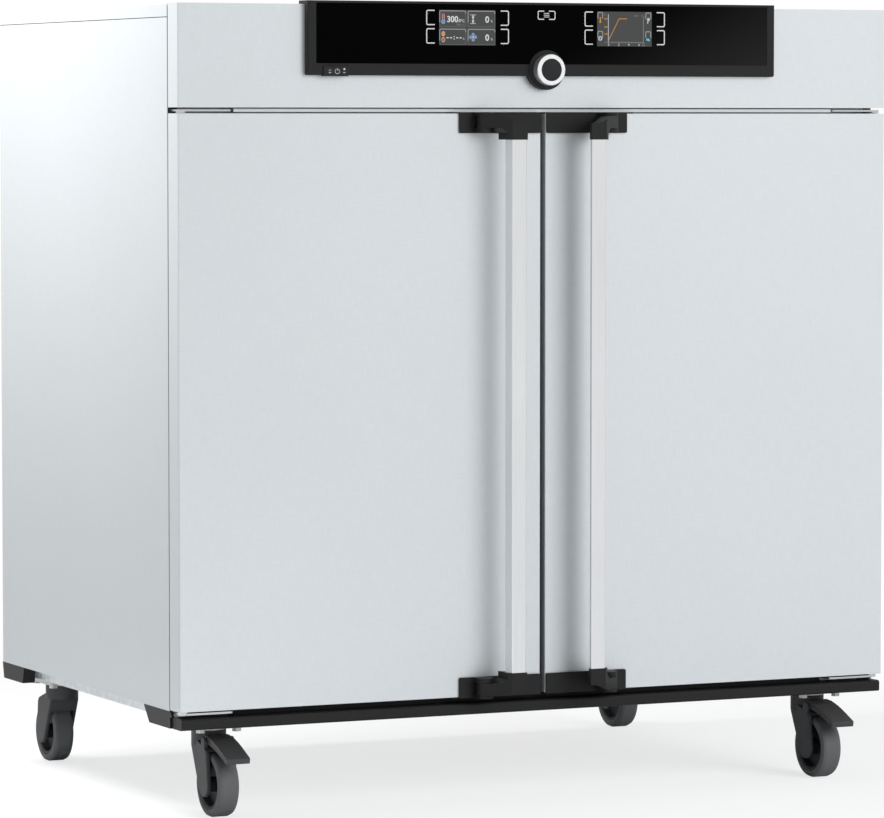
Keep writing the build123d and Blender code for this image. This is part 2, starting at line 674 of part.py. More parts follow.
def cockpit_frame():
    """Moulded frame with a rebate for the glass, a lip over the fascia and the knob's boss."""
    half = PANEL_WIDTH / 2
    face = block(-half, half, -PANEL_FRONT, 0, PANEL_LOW, HEIGHT)
    lip = block(-half, half, -PANEL_FRONT, PANEL_LIP_BACK, CABINET_TOP, HEIGHT)
    frame = rounded(face + lip, Axis.Z, PANEL_ROUND, lambda c: c.Y < 1 - PANEL_FRONT)
    frame = rounded(frame, Axis.Y, PANEL_ROUND, lambda c: c.Z < PANEL_LOW + 1)
    glass_x = half - PANEL_SIDE_RIM
    low = PANEL_LOW + PANEL_LOW_RIM
    high = HEIGHT - PANEL_TOP_RIM
    frame -= block(-glass_x, glass_x, -PANEL_FRONT - 1, -PANEL_FRONT + GLASS + GLASS_RECESS, low,
                   high)
    frame -= block(-glass_x + PANEL_RIM_INSIDE, glass_x - PANEL_RIM_INSIDE, -PANEL_FRONT - 1, 1,
                   low + PANEL_RIM_INSIDE, CABINET_TOP - 2 * SHEET)
    boss = rod_y(0, -BOSS_FRONT, 0, KNOB_Z, BOSS_R)
    boss = fillet(boss.edges().filter_by(GeomType.CIRCLE).sort_by(Axis.Y)[0], BOSS_ROUND)
    frame += boss
    frame -= rod_y(0, -BOSS_FRONT - 1, 1, KNOB_Z, KNOB_SHAFT_R + RUNNING_FIT)
    width, height = SWITCH_SIZE
    low = PANEL_LOW - SWITCH_DROP
    return frame - block(SWITCH_X - width / 2 - FIT, SWITCH_X + width / 2 + FIT, -PANEL_FRONT - 1,
                         -SWITCH_FRONT + SWITCH_THICKNESS + SWITCH_TRAVEL + FIT, low - 1,
                         low + height + FIT)


def cockpit_glass():
    half = PANEL_WIDTH / 2 - PANEL_SIDE_RIM - FIT
    pane = block(-half, half, -PANEL_FRONT + GLASS_RECESS, -PANEL_FRONT + GLASS_RECESS + GLASS,
                 PANEL_LOW + PANEL_LOW_RIM + FIT, HEIGHT - PANEL_TOP_RIM - FIT)
    return pane - rod_y(0, -PANEL_FRONT - 1, 1, KNOB_Z, BOSS_R + BOSS_GROOVE)


def displays():
    width, height, depth = SCREEN_CASE
    y0 = -PANEL_FRONT + GLASS_RECESS + GLASS
    return [block(side * SCREEN_X - width / 2, side * SCREEN_X + width / 2, y0, y0 + depth,
                  SCREEN_Z - height / 2, SCREEN_Z + height / 2) for side in (-1, 1)]


def electronics_module():
    """Control board in its case, behind the screens, with the knob's encoder below it."""
    width, height, depth = BOARD
    y0 = -PANEL_FRONT + GLASS_RECESS + GLASS + SCREEN_CASE[2]
    low = KNOB_Z + ENCODER / 2
    case = block(-width / 2, width / 2, y0, y0 + depth, low, low + height)
    case = rounded(case, Axis.Y, 2 * SHEET)
    encoder = block(-ENCODER / 2, ENCODER / 2, y0, y0 + depth / 2, low - ENCODER, low)
    return case + encoder - rod_y(0, y0 - 1, -BOSS_FRONT + KNOB_SHAFT_LENGTH + 1, KNOB_Z,
                                  KNOB_SHAFT_R + FIT)


def control_knob():
    """Turned metal ring with a web and a hollow shaft through the boss."""
    web_back = -BOSS_FRONT - FIT
    ring = rod_y(0, -RING_FRONT, web_back, KNOB_Z, RING_R)
    ring = chamfer(ring.edges().filter_by(GeomType.CIRCLE).sort_by(Axis.Y)[0], RING_EDGE)
    ring -= rod_y(0, -RING_FRONT - 1, web_back - RING_WEB, KNOB_Z, RING_INNER_R)
    ring += rod_y(0, web_back - 1, web_back + KNOB_SHAFT_LENGTH, KNOB_Z, KNOB_SHAFT_R)
    return ring - rod_y(0, -RING_FRONT, web_back + KNOB_SHAFT_LENGTH + 1, KNOB_Z,
                        STEM_R + RUNNING_FIT)


def knob_button():
    """Domed push button in the ring, guided by its stem."""
    front = -BUTTON_FRONT
    rim = front + BUTTON_DOME
    back = -BOSS_FRONT - FIT - RING_WEB - BUTTON_TRAVEL - BUTTON_SPACE
    end = back + STEM_LENGTH
    along, rise = DOME_MIDDLE
    middle = (BUTTON_R * along, front + BUTTON_DOME * rise)
    dome = ThreePointArc((0, front), middle, (BUTTON_R, rim))
    rest = Polyline((BUTTON_R, rim), (BUTTON_R, back), (STEM_R, back), (STEM_R, end), (0, end),
                    (0, front))
    half = make_face([dome, rest])
    return Pos(0, 0, KNOB_Z) * revolve(half, axis=Axis.Y)


def mains_switch():
    width, height = SWITCH_SIZE
    low = PANEL_LOW - SWITCH_DROP
    key = block(SWITCH_X - width / 2, SWITCH_X + width / 2, -SWITCH_FRONT,
                -SWITCH_FRONT + SWITCH_THICKNESS, low, low + height)
    front = [edge for edge in key.edges() if edge.center().Y < -SWITCH_FRONT + 0.1]
    return fillet(front, SWITCH_ROUND)


# Doors, each modelled at the left and mirrored for the right

def door_skin():
    """Outer folded sheet of a door, with holes for the two hinge pins."""
    skin = block(-SIDE_X, -DOOR_INNER_X, 0, DOOR_DEPTH, DOOR_BOTTOM, DOOR_TOP)
    skin = rounded(skin, Axis.Z, DOOR_ROUND, lambda c: c.Y < 1)
    skin -= block(-SIDE_X + SHEET, -DOOR_INNER_X - SHEET, SHEET, DOOR_DEPTH + 1,
                  DOOR_BOTTOM + SHEET, DOOR_TOP - SHEET)
    return skin - rod_z(-HINGE_X, HINGE_BACK, DOOR_BOTTOM - 1, DOOR_TOP + 1,
                        HINGE_PIN_R + 2 * HINGE_CLEAR)


def plug_box(inset):
    """Corners of the raised part of the door's inner panel."""
    x0 = -CHAMBER_X + PLUG_CLEARANCE + inset
    x1 = -DOOR_INNER_X - PLUG_CLEARANCE - inset
    z0 = CHAMBER_BOTTOM + PLUG_CLEARANCE + inset
    z1 = CHAMBER_TOP - PLUG_CLEARANCE - inset
    return x0, x1, z0, z1


def door_liner():
    """Inner panel with the plug that closes the chamber, and the hinge bearing blocks."""
    back = DOOR_DEPTH
    panel = block(-SIDE_X + SHEET, -DOOR_INNER_X - SHEET, back - BACK_PLATE, back,
                  DOOR_BOTTOM + SHEET, DOOR_TOP - SHEET)
    x0, x1, z0, z1 = plug_box(0)
    plug = block(x0, x1, back, FRAME_Y + PLUG_DEPTH, z0, z1)
    plug = rounded(plug, Axis.Y, 4 * BACK_PLATE)
    plug = fillet(plug.faces().sort_by(Axis.Y)[-1].edges(), 2 * BACK_PLATE)
    x0, x1, z0, z1 = plug_box(BACK_PLATE)
    panel += plug
    panel -= block(x0, x1, back - BACK_PLATE - 1, FRAME_Y + PLUG_DEPTH - BACK_PLATE, z0, z1)
    for z0, z1 in ((DOOR_TOP - SHEET - BEARING_HEIGHT, DOOR_TOP - SHEET),
                   (DOOR_BOTTOM + SHEET, DOOR_BOTTOM + SHEET + BEARING_HEIGHT)):
        panel += block(-SIDE_X + SHEET, -SIDE_X + SHEET + BEARING_BLOCK, SHEET, back, z0, z1)
        panel -= rod_z(-HINGE_X, HINGE_BACK, z0 - 1, z1 + 1, HINGE_PIN_R + RUNNING_FIT)
    return panel


def door_insulation():
    wool = block(-SIDE_X + SHEET, -DOOR_INNER_X - SHEET, SHEET, DOOR_DEPTH - BACK_PLATE,
                 DOOR_BOTTOM + SHEET, DOOR_TOP - SHEET)
    x0, x1, z0, z1 = plug_box(BACK_PLATE)
    wool += block(x0, x1, SHEET, FRAME_Y + PLUG_DEPTH - BACK_PLATE, z0, z1)
    for z0, z1 in ((DOOR_TOP - SHEET - BEARING_HEIGHT, DOOR_TOP),
                   (DOOR_BOTTOM, DOOR_BOTTOM + SHEET + BEARING_HEIGHT)):
        wool -= block(-SIDE_X, -SIDE_X + SHEET + BEARING_BLOCK, 0, DOOR_DEPTH, z0, z1)
    return wool


def door_gasket():
    """Seal that runs round the plug and meets the front frame."""
    x0, x1, z0, z1 = plug_box(-GASKET_SPACE)
    wide = GASKET_WIDTH
    seal = block(x0 - wide, -DOOR_INNER_X, DOOR_DEPTH, FRAME_Y - FIT, z0 - wide, z1 + wide)
    seal = rounded(seal, Axis.Y, wide, lambda c: c.X < x0)
    return seal - block(x0, -DOOR_INNER_X - PLUG_CLEARANCE + FIT, DOOR_DEPTH - 1, FRAME_Y, z0, z1)


def centre_seal():
    """Strip on the left door that covers the gap between the doors."""
    return block(-DOOR_INNER_X, -DOOR_INNER_X + SEAL_WIDTH, SEAL_FRONT, SEAL_BACK,
                 DOOR_BOTTOM, DOOR_TOP)


def hinge_brackets():
    """Four plates with bosses and pins that carry the doors."""
    brackets = []
    pin_y = HINGE_BACK
    for low in (True, False):
        door = DOOR_BOTTOM if low else DOOR_TOP
        outward = -1 if low else 1
        boss_z = door + outward * HINGE_CLEAR
        plate_z = boss_z + outward * HINGE_BOSS_RISE
        end_z = plate_z + outward * HINGE_PLATE
        x0 = -HINGE_X - HINGE_PLATE_BESIDE
        low_z, high_z = sorted((plate_z, end_z))
        plate = block(x0, x0 + HINGE_PLATE_WIDTH, HINGE_PLATE_FRONT, CABINET_Y, low_z, high_z)
        plate += block(-SIDE_X + SIDE_FLANGE + FIT, x0 + HINGE_PLATE_WIDTH, CABINET_Y - 1, FRAME_Y,
                       low_z, high_z)
        plate = rounded(plate, Axis.Z, 2 * HINGE_PLATE, lambda c: c.Y < HINGE_BACK)
        boss = rod_z(-HINGE_X, pin_y, boss_z, end_z, HINGE_BOSS_R)
        pin = rod_z(-HINGE_X, pin_y, end_z, door - outward * HINGE_PIN_LENGTH, HINGE_PIN_R)
        bracket = plate + boss + pin
        brackets += [bracket, other_side(bracket)]
    return brackets


def door_catches():
    """Four catch blocks on the front frame, above and below the doors."""
    blocks = []
    for side in (-1, 1):
        x0 = side * CATCH_X - CATCH_WIDTH / 2
        for z0 in (DOOR_TOP + CATCH_AWAY, DOOR_BOTTOM - CATCH_AWAY - CATCH_HEIGHT):
            catch = block(x0, x0 + CATCH_WIDTH, FRAME_Y - CATCH_REACH, FRAME_Y, z0,
                          z0 + CATCH_HEIGHT)
            blocks.append(rounded(catch, Axis.Z, CATCH_ROUND,
                                  lambda c: c.Y < FRAME_Y - CATCH_REACH + 1))
    return blocks


# Handles, each modelled at the top left and mirrored

def flip_height(shape):
    """Mirrors a piece at the top of the door to the door's bottom."""
    return mirror(shape, about=Plane.XY.offset((DOOR_TOP + DOOR_BOTTOM) / 2))


def handle_mount():
    """Plate wrapped over the door's edge, with two knuckles and the pivot pin."""
    outer = -MOUNT_IN - MOUNT_WIDTH
    top = DOOR_TOP + MOUNT_WRAP
    low = top - MOUNT_HEIGHT
    plate = block(outer, -MOUNT_IN, -MOUNT_PLATE, 0, low, top)
    plate = rounded(plate, Axis.Y, BAR_ROUND, lambda c: c.Z < low + 1)
    plate += block(outer - MOUNT_WRAP_SIDE, -MOUNT_IN, -1, MOUNT_WRAP_BACK, DOOR_TOP, top)
    centre = Pos(-HANDLE_X, HANDLE_Y)
    flare = Pos(-HANDLE_X, -MOUNT_PLATE / 2) * Rectangle(2 * KNUCKLE_FLARE, MOUNT_PLATE)
    knuckle = make_hull([*(centre * Circle(KNUCKLE_R)).edges(), *flare.edges()])
    for z0, z1 in ((low, low + ARM_UNDER - FIT), (low + ARM_UNDER + ARM_HEIGHT + FIT, top)):
        plate += Pos(0, 0, z0) * extrude(knuckle, amount=z1 - z0)
    return plate + rod_z(-HANDLE_X, HANDLE_Y, low, top, HANDLE_PIN_R)


def bar_outline(grow):
    """Section of the bar as (x, y) points, wider at the outer side, grown by the cap's wall."""
    front = -HANDLE_REACH + CAP_WALL - grow
    inner = -BAR_IN + grow
    outer = -BAR_IN - BAR_FRONT - grow
    return [(outer, front), (inner, front), (inner - 1, front + BAR_INNER + 2 * grow),
            (outer - BAR_LEAN, front + BAR_OUTER + 2 * grow)]


def handle_bar():
    """Aluminium bar between the two arms."""
    top = DOOR_TOP + MOUNT_WRAP - MOUNT_HEIGHT - BAR_CLEAR
    low = DOOR_BOTTOM + DOOR_TOP - top
    section = make_face(Polyline(*bar_outline(0), close=True))
    bar = Pos(0, 0, low) * extrude(section, amount=top - low)
    return rounded(bar, Axis.Z, BAR_ROUND)


def handle_arm():
    """Moulded arm from the pivot knuckle to the cap that holds the bar."""
    low = DOOR_TOP + MOUNT_WRAP - MOUNT_HEIGHT
    cap_low = low - BAR_CLEAR
    arm_low = low + ARM_UNDER
    arm_top = arm_low + ARM_HEIGHT
    centre = Pos(-HANDLE_X, HANDLE_Y)
    cap = make_face(Polyline(*bar_outline(CAP_WALL), close=True))
    plan = make_hull([*(centre * Circle(KNUCKLE_R)).edges(), *cap.edges()])
    arm = Pos(0, 0, cap_low) * extrude(plan, amount=arm_top - cap_low)
    root = -HANDLE_X + KNUCKLE_R + ARM_GAP
    outer = -BAR_IN - BAR_FRONT - BAR_LEAN - CAP_WALL
    profile = [(-HANDLE_X - KNUCKLE_R - 1, arm_low), (root, arm_low), (outer, arm_low - ARM_UNDER),
               (outer, cap_low), (0, cap_low), (0, cap_low + CAP_HEIGHT),
               (-BAR_IN - BAR_FRONT / 2, cap_low + CAP_HEIGHT), (root, arm_top),
               (-HANDLE_X - KNUCKLE_R - 1, arm_top)]
    arm = arm & across_y(profile, -HANDLE_REACH - 1, 0)
    return arm - rod_z(-HANDLE_X, HANDLE_Y, cap_low, arm_top + 1, HANDLE_PIN_R + RUNNING_FIT)


# Base

def base_beam():
    """Front beam, a channel open to the rear."""
    reach = SIDE_X - BEAM_SIDE
    beam = block(-reach, reach, 0, DOOR_DEPTH, BEAM_BOTTOM, BEAM_BOTTOM + BEAM_HEIGHT)
    beam = rounded(beam, Axis.X, BEAM_ROUND, lambda c: c.Y < 1)
    return beam - block(-reach + BEAM_WALL, reach - BEAM_WALL, BEAM_WALL, DOOR_DEPTH + 1,
                        BEAM_BOTTOM + BEAM_WALL, BEAM_BOTTOM + BEAM_HEIGHT - BEAM_WALL)


def base_cheek():
    """Moulded end piece between the beam and the side panel."""
    top = PANEL_BOTTOM
    beam_top = BEAM_BOTTOM + BEAM_HEIGHT
    points = [(DOOR_DEPTH, BEAM_BOTTOM), (CHEEK_END - CHEEK_SLANT, BEAM_BOTTOM), (CHEEK_END, top),
              (DOOR_DEPTH, top), (DOOR_DEPTH - CHEEK_STEP, top - CHEEK_STEP),
              (DOOR_DEPTH - CHEEK_STEP, beam_top), (DOOR_DEPTH, beam_top)]
    return across_x(points, -SIDE_X, -SIDE_X + CHEEK_THICK)


def rear_corner():
    start = DEPTH - BLOCK_LENGTH
    points = [(start + BLOCK_SLANT, BEAM_BOTTOM), (DEPTH - BLOCK_SLANT, BEAM_BOTTOM),
              (DEPTH, PANEL_BOTTOM), (start, PANEL_BOTTOM)]
    return across_x(points, -SIDE_X, -SIDE_X + CORNER_THICK)


def base_frame():
    """Folded rails and cross members with pads for the casters."""
    outer = SIDE_X - RAIL_IN
    inner = outer - RAIL_WIDTH
    front = FRAME_Y
    back = DEPTH - SHEET
    frame = block(-outer, outer, front, back, RAIL_BOTTOM, PANEL_BOTTOM)
    frame -= block(-inner, inner, front + CROSS_WIDTH, back - CROSS_WIDTH, 0, HEIGHT)
    for side in (-1, 1):
        edges = sorted((side * (outer - RAIL_WALL), side * (inner + RAIL_WALL)))
        frame -= block(*edges, front + CROSS_WIDTH + RAIL_WALL, back - CROSS_WIDTH - RAIL_WALL,
                       RAIL_BOTTOM - 1, PANEL_BOTTOM - RAIL_WALL)
        for y in (CASTER_FRONT_Y, CASTER_REAR_Y):
            width, length, _ = CASTER_PLATE
            frame += block(side * CASTER_X - width / 2, side * CASTER_X + width / 2,
                           y - length / 2, y + length / 2, CASTER_HEIGHT, PANEL_BOTTOM)
    return frame


# Casters, each modelled on its swivel axis with the wheel trailing towards -y

def caster_plate():
    """Fixing plate with bearing race, king pin and four bolt heads."""
    width, length, thick = CASTER_PLATE
    low = CASTER_HEIGHT - thick
    plate = block(-width / 2, width / 2, -length / 2, length / 2, low, CASTER_HEIGHT)
    plate = rounded(plate, Axis.Z, 2 * thick)
    plate += rod_z(0, 0, low - RACE_HEIGHT, low, RACE_R)
    plate += rod_z(0, 0, low - RACE_HEIGHT - KING_PIN_LENGTH, low, KING_PIN_R)
    radius, head = BOLT_HEAD
    bolts = [Pos(sx * BOLT_SPACING[0] / 2, sy * BOLT_SPACING[1] / 2, low - head)
             * extrude(RegularPolygon(radius, 6), amount=head) for sx in (-1, 1) for sy in (-1, 1)]
    return [plate] + bolts


def fork_top():
    return CASTER_HEIGHT - CASTER_PLATE[2] - RACE_HEIGHT - FORK_GAP


def caster_fork(with_lugs):
    """Hood and cheeks over the wheel, with the axle and the swivel disc."""
    top = fork_top()
    hood_z = top - FORK_DISC
    foot = Pos(-CASTER_TRAIL, WHEEL_R) * Circle(FORK_FOOT_R)
    curve = Circle(FORK_CURVE_R)
    rear = Pos(0, hood_z - FORK_CURVE_R) * curve
    front = Pos(-CASTER_TRAIL - FORK_FRONT_AHEAD, hood_z - FORK_CURVE_R - FORK_FRONT_DROP) * curve
    outline = make_hull([*foot.edges(), *rear.edges(), *front.edges()])
    hood = Plane.YZ.offset(-FORK_HALF) * extrude(outline, amount=2 * FORK_HALF)
    hood = fillet([e for e in hood.edges() if abs(abs(e.center().X) - FORK_HALF) < 0.01], FORK_ROUND)
    if with_lugs:
        y, z = -PEDAL_PIVOT[0], PEDAL_PIVOT[1]
        for x0, x1 in ((-FORK_HALF, -FORK_INSIDE), (FORK_INSIDE, FORK_HALF)):
            hood += rod_x(x0, x1, y, z, PEDAL_LUG_R)
            hood += block(x0, x1, y - PEDAL_LUG_R, y + PEDAL_LUG_R, z - PEDAL_LUG_R - LUG_FOOT, z)
    hood += rod_z(0, 0, hood_z - FORK_CURVE_R, top, RACE_R)
    hood -= rod_x(-FORK_INSIDE, FORK_INSIDE, -CASTER_TRAIL, WHEEL_R, WHEEL_R + WHEEL_CLEAR)
    hood -= block(-FORK_INSIDE, FORK_INSIDE, -2 * WHEEL_R, WHEEL_R, 0, WHEEL_R)
    hood += rod_x(-FORK_INSIDE - 1, FORK_INSIDE + 1, -CASTER_TRAIL, WHEEL_R, AXLE_R)
    if with_lugs:
        hood += rod_x(-FORK_INSIDE - 1, FORK_INSIDE + 1, y, z, PEDAL_PIN_R)
    return hood - rod_z(0, 0, top - KING_PIN_LENGTH - 1, top + 1, KING_PIN_R + RUNNING_FIT)


def caster_wheel():
    """Hub with a thin web, from its section turned about the axle."""
    wall_r = RIM_R - RIM_WALL
    half = [(AXLE_R + RUNNING_FIT, HUB_WIDTH / 2), (HUB_R, HUB_WIDTH / 2), (HUB_R, WEB_WIDTH / 2),
            (wall_r - RIM_SLOPE, WEB_WIDTH / 2), (wall_r, RIM_WIDTH / 2), (RIM_R, RIM_WIDTH / 2)]
    points = half + [(radius, -x) for radius, x in reversed(half)]
    return about_axle(points)


def about_axle(points):
    """Turns an outline of (radius, x) points about the caster's axle."""
    outline = make_face(Polyline(*[(x, 0, radius) for radius, x in points], close=True))
    return Pos(0, -CASTER_TRAIL, WHEEL_R) * revolve(outline, axis=Axis.X)


def caster_tyre():
    half = TYRE_WIDTH / 2
    step = TYRE_ROUND * 0.3
    side = [(RIM_R, RIM_WIDTH / 2), (RIM_R + TYRE_FLANK, half), (WHEEL_R - TYRE_ROUND, half),
            (WHEEL_R - step, half - step), (WHEEL_R, half - TYRE_ROUND)]
    return about_axle(side + [(radius, -x) for radius, x in reversed(side)])


def brake_pedal():
    """Curved foot lever that hinges on a pin between the fork's lugs."""
    pivot_y, pivot_z = -PEDAL_PIVOT[0], PEDAL_PIVOT[1]
    above = [(pivot_y + y, pivot_z + z) for y, z in PEDAL_UPPER]
    below = [(pivot_y + y, pivot_z + z) for y, z in PEDAL_LOWER]
    upper = Spline(*above, (-PEDAL_REACH, PEDAL_TIP + PEDAL_THICK))
    lower = Spline((PEDAL_TIP_BACK - PEDAL_REACH, PEDAL_TIP), *below)
    ends = [Line(upper @ 1, lower @ 0), Line(lower @ 1, upper @ 0)]
    side = make_face([upper, ends[0], lower, ends[1]])
    pedal = Plane.YZ.offset(-PEDAL_HALF) * extrude(side, amount=2 * PEDAL_HALF)
    pedal = rounded(pedal, Axis.X, PEDAL_THICK / 3, lambda c: c.Y < 1 - PEDAL_REACH)
    return pedal - rod_x(-FORK_HALF, FORK_HALF, pivot_y, pivot_z, PEDAL_PIN_R + RUNNING_FIT)


def make_casters():
    """Front casters have brake pedals, rear ones trail the other way."""
    plates = []
    for name, x, y, turn in (("front_left", -CASTER_X, CASTER_FRONT_Y, 0),
                             ("front_right", CASTER_X, CASTER_FRONT_Y, 0),
                             ("rear_left", -CASTER_X, CASTER_REAR_Y, 180),
                             ("rear_right", CASTER_X, CASTER_REAR_Y, 180)):
        at = Pos(x, y, 0) * Rot(0, 0, turn)
        braked = turn == 0
        plates += [at * piece for piece in caster_plate()]
        keep(name + "_fork", at * caster_fork(braked))
        keep(name + "_wheel", at * caster_wheel())
        keep(name + "_tyre", at * caster_tyre())
        if braked:
            keep(name + "_brake_pedal", at * brake_pedal())
    keep("caster_plates", *plates)


def make_doors():
    for name, placed in (("left", lambda shape: shape), ("right", other_side)):
        keep(name + "_door_skin", placed(door_skin()))
        keep(name + "_door_liner", placed(door_liner()))
        keep(name + "_door_insulation", placed(door_insulation()))
        seals = [placed(door_gasket())]
        if name == "left":
            seals.append(centre_seal())
        keep(name + "_door_gasket", *seals)
        mount = handle_mount()
        arm = handle_arm()
        keep(name + "_handle_mounts", placed(mount), placed(flip_height(mount)))
        keep(name + "_handle_arms", placed(arm), placed(flip_height(arm)))
        keep(name + "_handle_bar", placed(handle_bar()))


def make_cabinet():
    keep("left_side_panel", side_panel())
    keep("right_side_panel", other_side(side_panel()))
    keep("top_cover", top_cover())
    keep("rear_panel", rear_panel())
    keep("floor_pan", floor_pan())
    keep("control_fascia", *control_fascia())
    keep("front_frame", front_frame())
    keep("chamber_liner", chamber_liner())
    keep("air_baffle", air_baffle())
    keep("heating_elements", *heating_elements())
    keep("cabinet_insulation", cabinet_insulation())
    keep("temperature_probes", *temperature_probes())
    keep("hinge_brackets", *hinge_brackets())
    keep("door_catches", *door_catches())
    keep("base_frame", base_frame())
    trim = [base_cheek(), rear_corner()]
    keep("base_trim", base_beam(), *trim, *[other_side(piece) for piece in trim])


def make_fittings():
    keep("fan_wheel", fan_wheel())
    keep("fan_motor", fan_motor())
    keep("exhaust_tube", exhaust_tube())
    keep("air_flap", air_flap())
    keep("flap_actuator", flap_actuator())
    keep("mains_inlet", mains_inlet())
    keep("lower_shelf", *shelf(SHELF_RIBS[0]))
    keep("upper_shelf", *shelf(SHELF_RIBS[1]))
    keep("cockpit_frame", cockpit_frame())
    keep("cockpit_glass", cockpit_glass())
    keep("displays", *displays())
    keep("electronics_module", electronics_module())
    keep("control_knob", control_knob())
    keep("knob_button", knob_button())
    keep("mains_switch", mains_switch())


def write_parts():
    os.makedirs("parts", exist_ok=True)
    for name, solids in PARTS.items():
        shape = solids[0] if len(solids) == 1 else Compound(solids)
        export_step(shape, os.path.join("parts", name + ".step"))


make_cabinet()
make_fittings()
make_doors()
make_casters()
write_parts()
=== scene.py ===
import bmesh
import bpy
from math import cos, radians, sin, tau
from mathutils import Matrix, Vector


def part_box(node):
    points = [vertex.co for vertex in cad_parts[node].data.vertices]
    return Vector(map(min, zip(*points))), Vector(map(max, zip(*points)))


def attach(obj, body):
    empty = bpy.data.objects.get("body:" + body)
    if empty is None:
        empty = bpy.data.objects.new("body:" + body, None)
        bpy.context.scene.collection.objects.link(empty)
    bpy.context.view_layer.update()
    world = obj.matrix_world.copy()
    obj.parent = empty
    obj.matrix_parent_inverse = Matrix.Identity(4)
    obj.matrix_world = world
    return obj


# Laboratory oven on casters. The frame is in metres, with the floor at z = 0 and the doors towards
# -y. Sizes below are in millimetres unless a name or a comment says otherwise.
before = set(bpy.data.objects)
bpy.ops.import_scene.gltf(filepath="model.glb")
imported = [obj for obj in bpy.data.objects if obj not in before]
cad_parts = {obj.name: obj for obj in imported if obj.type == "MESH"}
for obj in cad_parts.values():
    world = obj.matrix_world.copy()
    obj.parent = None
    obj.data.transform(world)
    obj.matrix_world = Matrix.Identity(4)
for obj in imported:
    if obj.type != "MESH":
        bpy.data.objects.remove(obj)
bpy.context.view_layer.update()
MM = 0.001

# Camera, fitted to the straight edges of the oven in the photograph, in metres and radians
CAMERA_PLACE = (-3.3143, -7.0853, 1.0677)
CAMERA_YAW = 0.4380
CAMERA_DOWN = 0.06046
CAMERA_LENS = 195.4        # with the sensor's width, in millimetres
CAMERA_FAR = 100.0
SENSOR_WIDTH = 36.0

# Studio, in metres and watts
WHITE = (1.0, 1.0, 1.0, 1.0)
WORLD_TONE = (250, 252, 255)
WORLD_LIGHT = 0.36
FLOOR_TONE = (246, 247, 248)
FLOOR_RADIUS = 14.0
FLOOR_SIDES = 96
FLOOR_FADE = (0.9, 2.2)    # radii between which the floor turns white
FLOOR_WHITE = 0.72         # the share of white that lightens the floor's shadow
LAMPS = {                  # place, target, size and power
    "key_light": ((2.0, -4.4, 2.2), (0, -0.2, 0.8), 2.4, 215),
    "side_light": ((-1.25, 0.3, 2.05), (-0.6, 0.2, 1.1), 0.9, 60),
}

# Finishes, with scales per metre, and heights and distances of the fades in metres
LINEN_TONES = ((187, 192, 194), (209, 214, 216))
LINEN_FINE = 620           # across a thread
LINEN_LONG = 45            # along a thread
LINEN_APART = 5.0          # between the noise of the weft and that of the warp
SIDE_PAINTED_SHADE = (226, 226, 226)                    # painted shade: the side sheets are darker towards the floor
SIDE_PAINTED_SHADE_FADE = (0.1, 1.15)    # heights of the full painted shade and of none
# the pane's own black, then the paler tone of its painted reflection
PANE_AND_REFLECTION_TONES = ((1, 1, 1), (30, 30, 31))
PANE_REFLECTION_FADE = (0.03, 0.3)    # painted reflection, fading in along a diagonal to the lower right
PANE_REFLECTION_HEIGHT = 1.2          # where that diagonal crosses the middle of the pane
LATHE_LINES = 9000
RASTER = 9000              # radians per metre
PLASTIC_GRAIN = 1600
PLASTIC_DARK = 0.88        # darkest and lightest share of a plastic's tone
PLASTIC_LIGHT = 1.1
PRINT_DARK = 0.92
RASTER_DARK = 0.9
UNLIT = (4, 4, 5)          # tone of a screen without its light

# Control panel
SCREEN_X = 136.0
SCREEN_WIDTH = 96.0
SCREEN_HEIGHT = 54.0
SCREEN_TOP = 1234.3
KEY_SIDES = {-1: (7.5, 21.1), 1: (9.0, 22.3)}   # from a screen's side to its key marks' ends
KEY_DROP = 0.85
KEY_HEIGHT = 21.9
KEY_STEP = 28.1
KEY_ROUND = 2.2
KEY_LINE = 1.7
MENU_SIDES = (4.2, 14.6)   # from the middle to the ends of the marks over the knob
MENU_TOP = 1234.0
MENU_FOOT = 1221.4
MENU_ROUND = 2.0
MENU_LINE = 1.5
MENU_BARS = (1230.6, 1227.8, 1225.0)
MENU_BAR_HALF = 4.6
MENU_BAR_LINE = 1.0
KNOB_Z = 1143.0

# Print and lit shapes lie in layers on the pane
MARK_STEP = 0.04           # from one layer to the next
GROUND_LAYER = 0.5
FIGURE_LAYER = 2
FIGURE_SHARE = 0.73        # height of a figure as a share of the font's size
MERGE = 1e-7               # corners closer than this become one, in metres
LEAST_MITRE = 0.3          # keeps the mitre of a sharp bend short
BEND_STEPS = 6
DISC_CORNERS = 25
FIELD_ROUND = 1.8
FIELD_EDGE = 1.4
FIELD_DIM_EDGE = 0.9
FIELD_EDGE_RISE = 6.0      # the bright edge starts this far above a field's foot
FIELD_DIM_DROP = 8.0       # and the dim one this far below its top
FIELD_END_DROP = 4.0       # both end this far below the top
BULB_SHARE = 0.85          # radius of a thermometer's bulb as a share of the tube's width
RIM_LINE = 1.2             # what the rim adds to the tube's width, top and bulb
RIM_TOP = 0.4
RIM_BULB = 0.7
TAB_EDGE = 1.5
TAB_SIDE = 9.6             # length of a side field's open sides

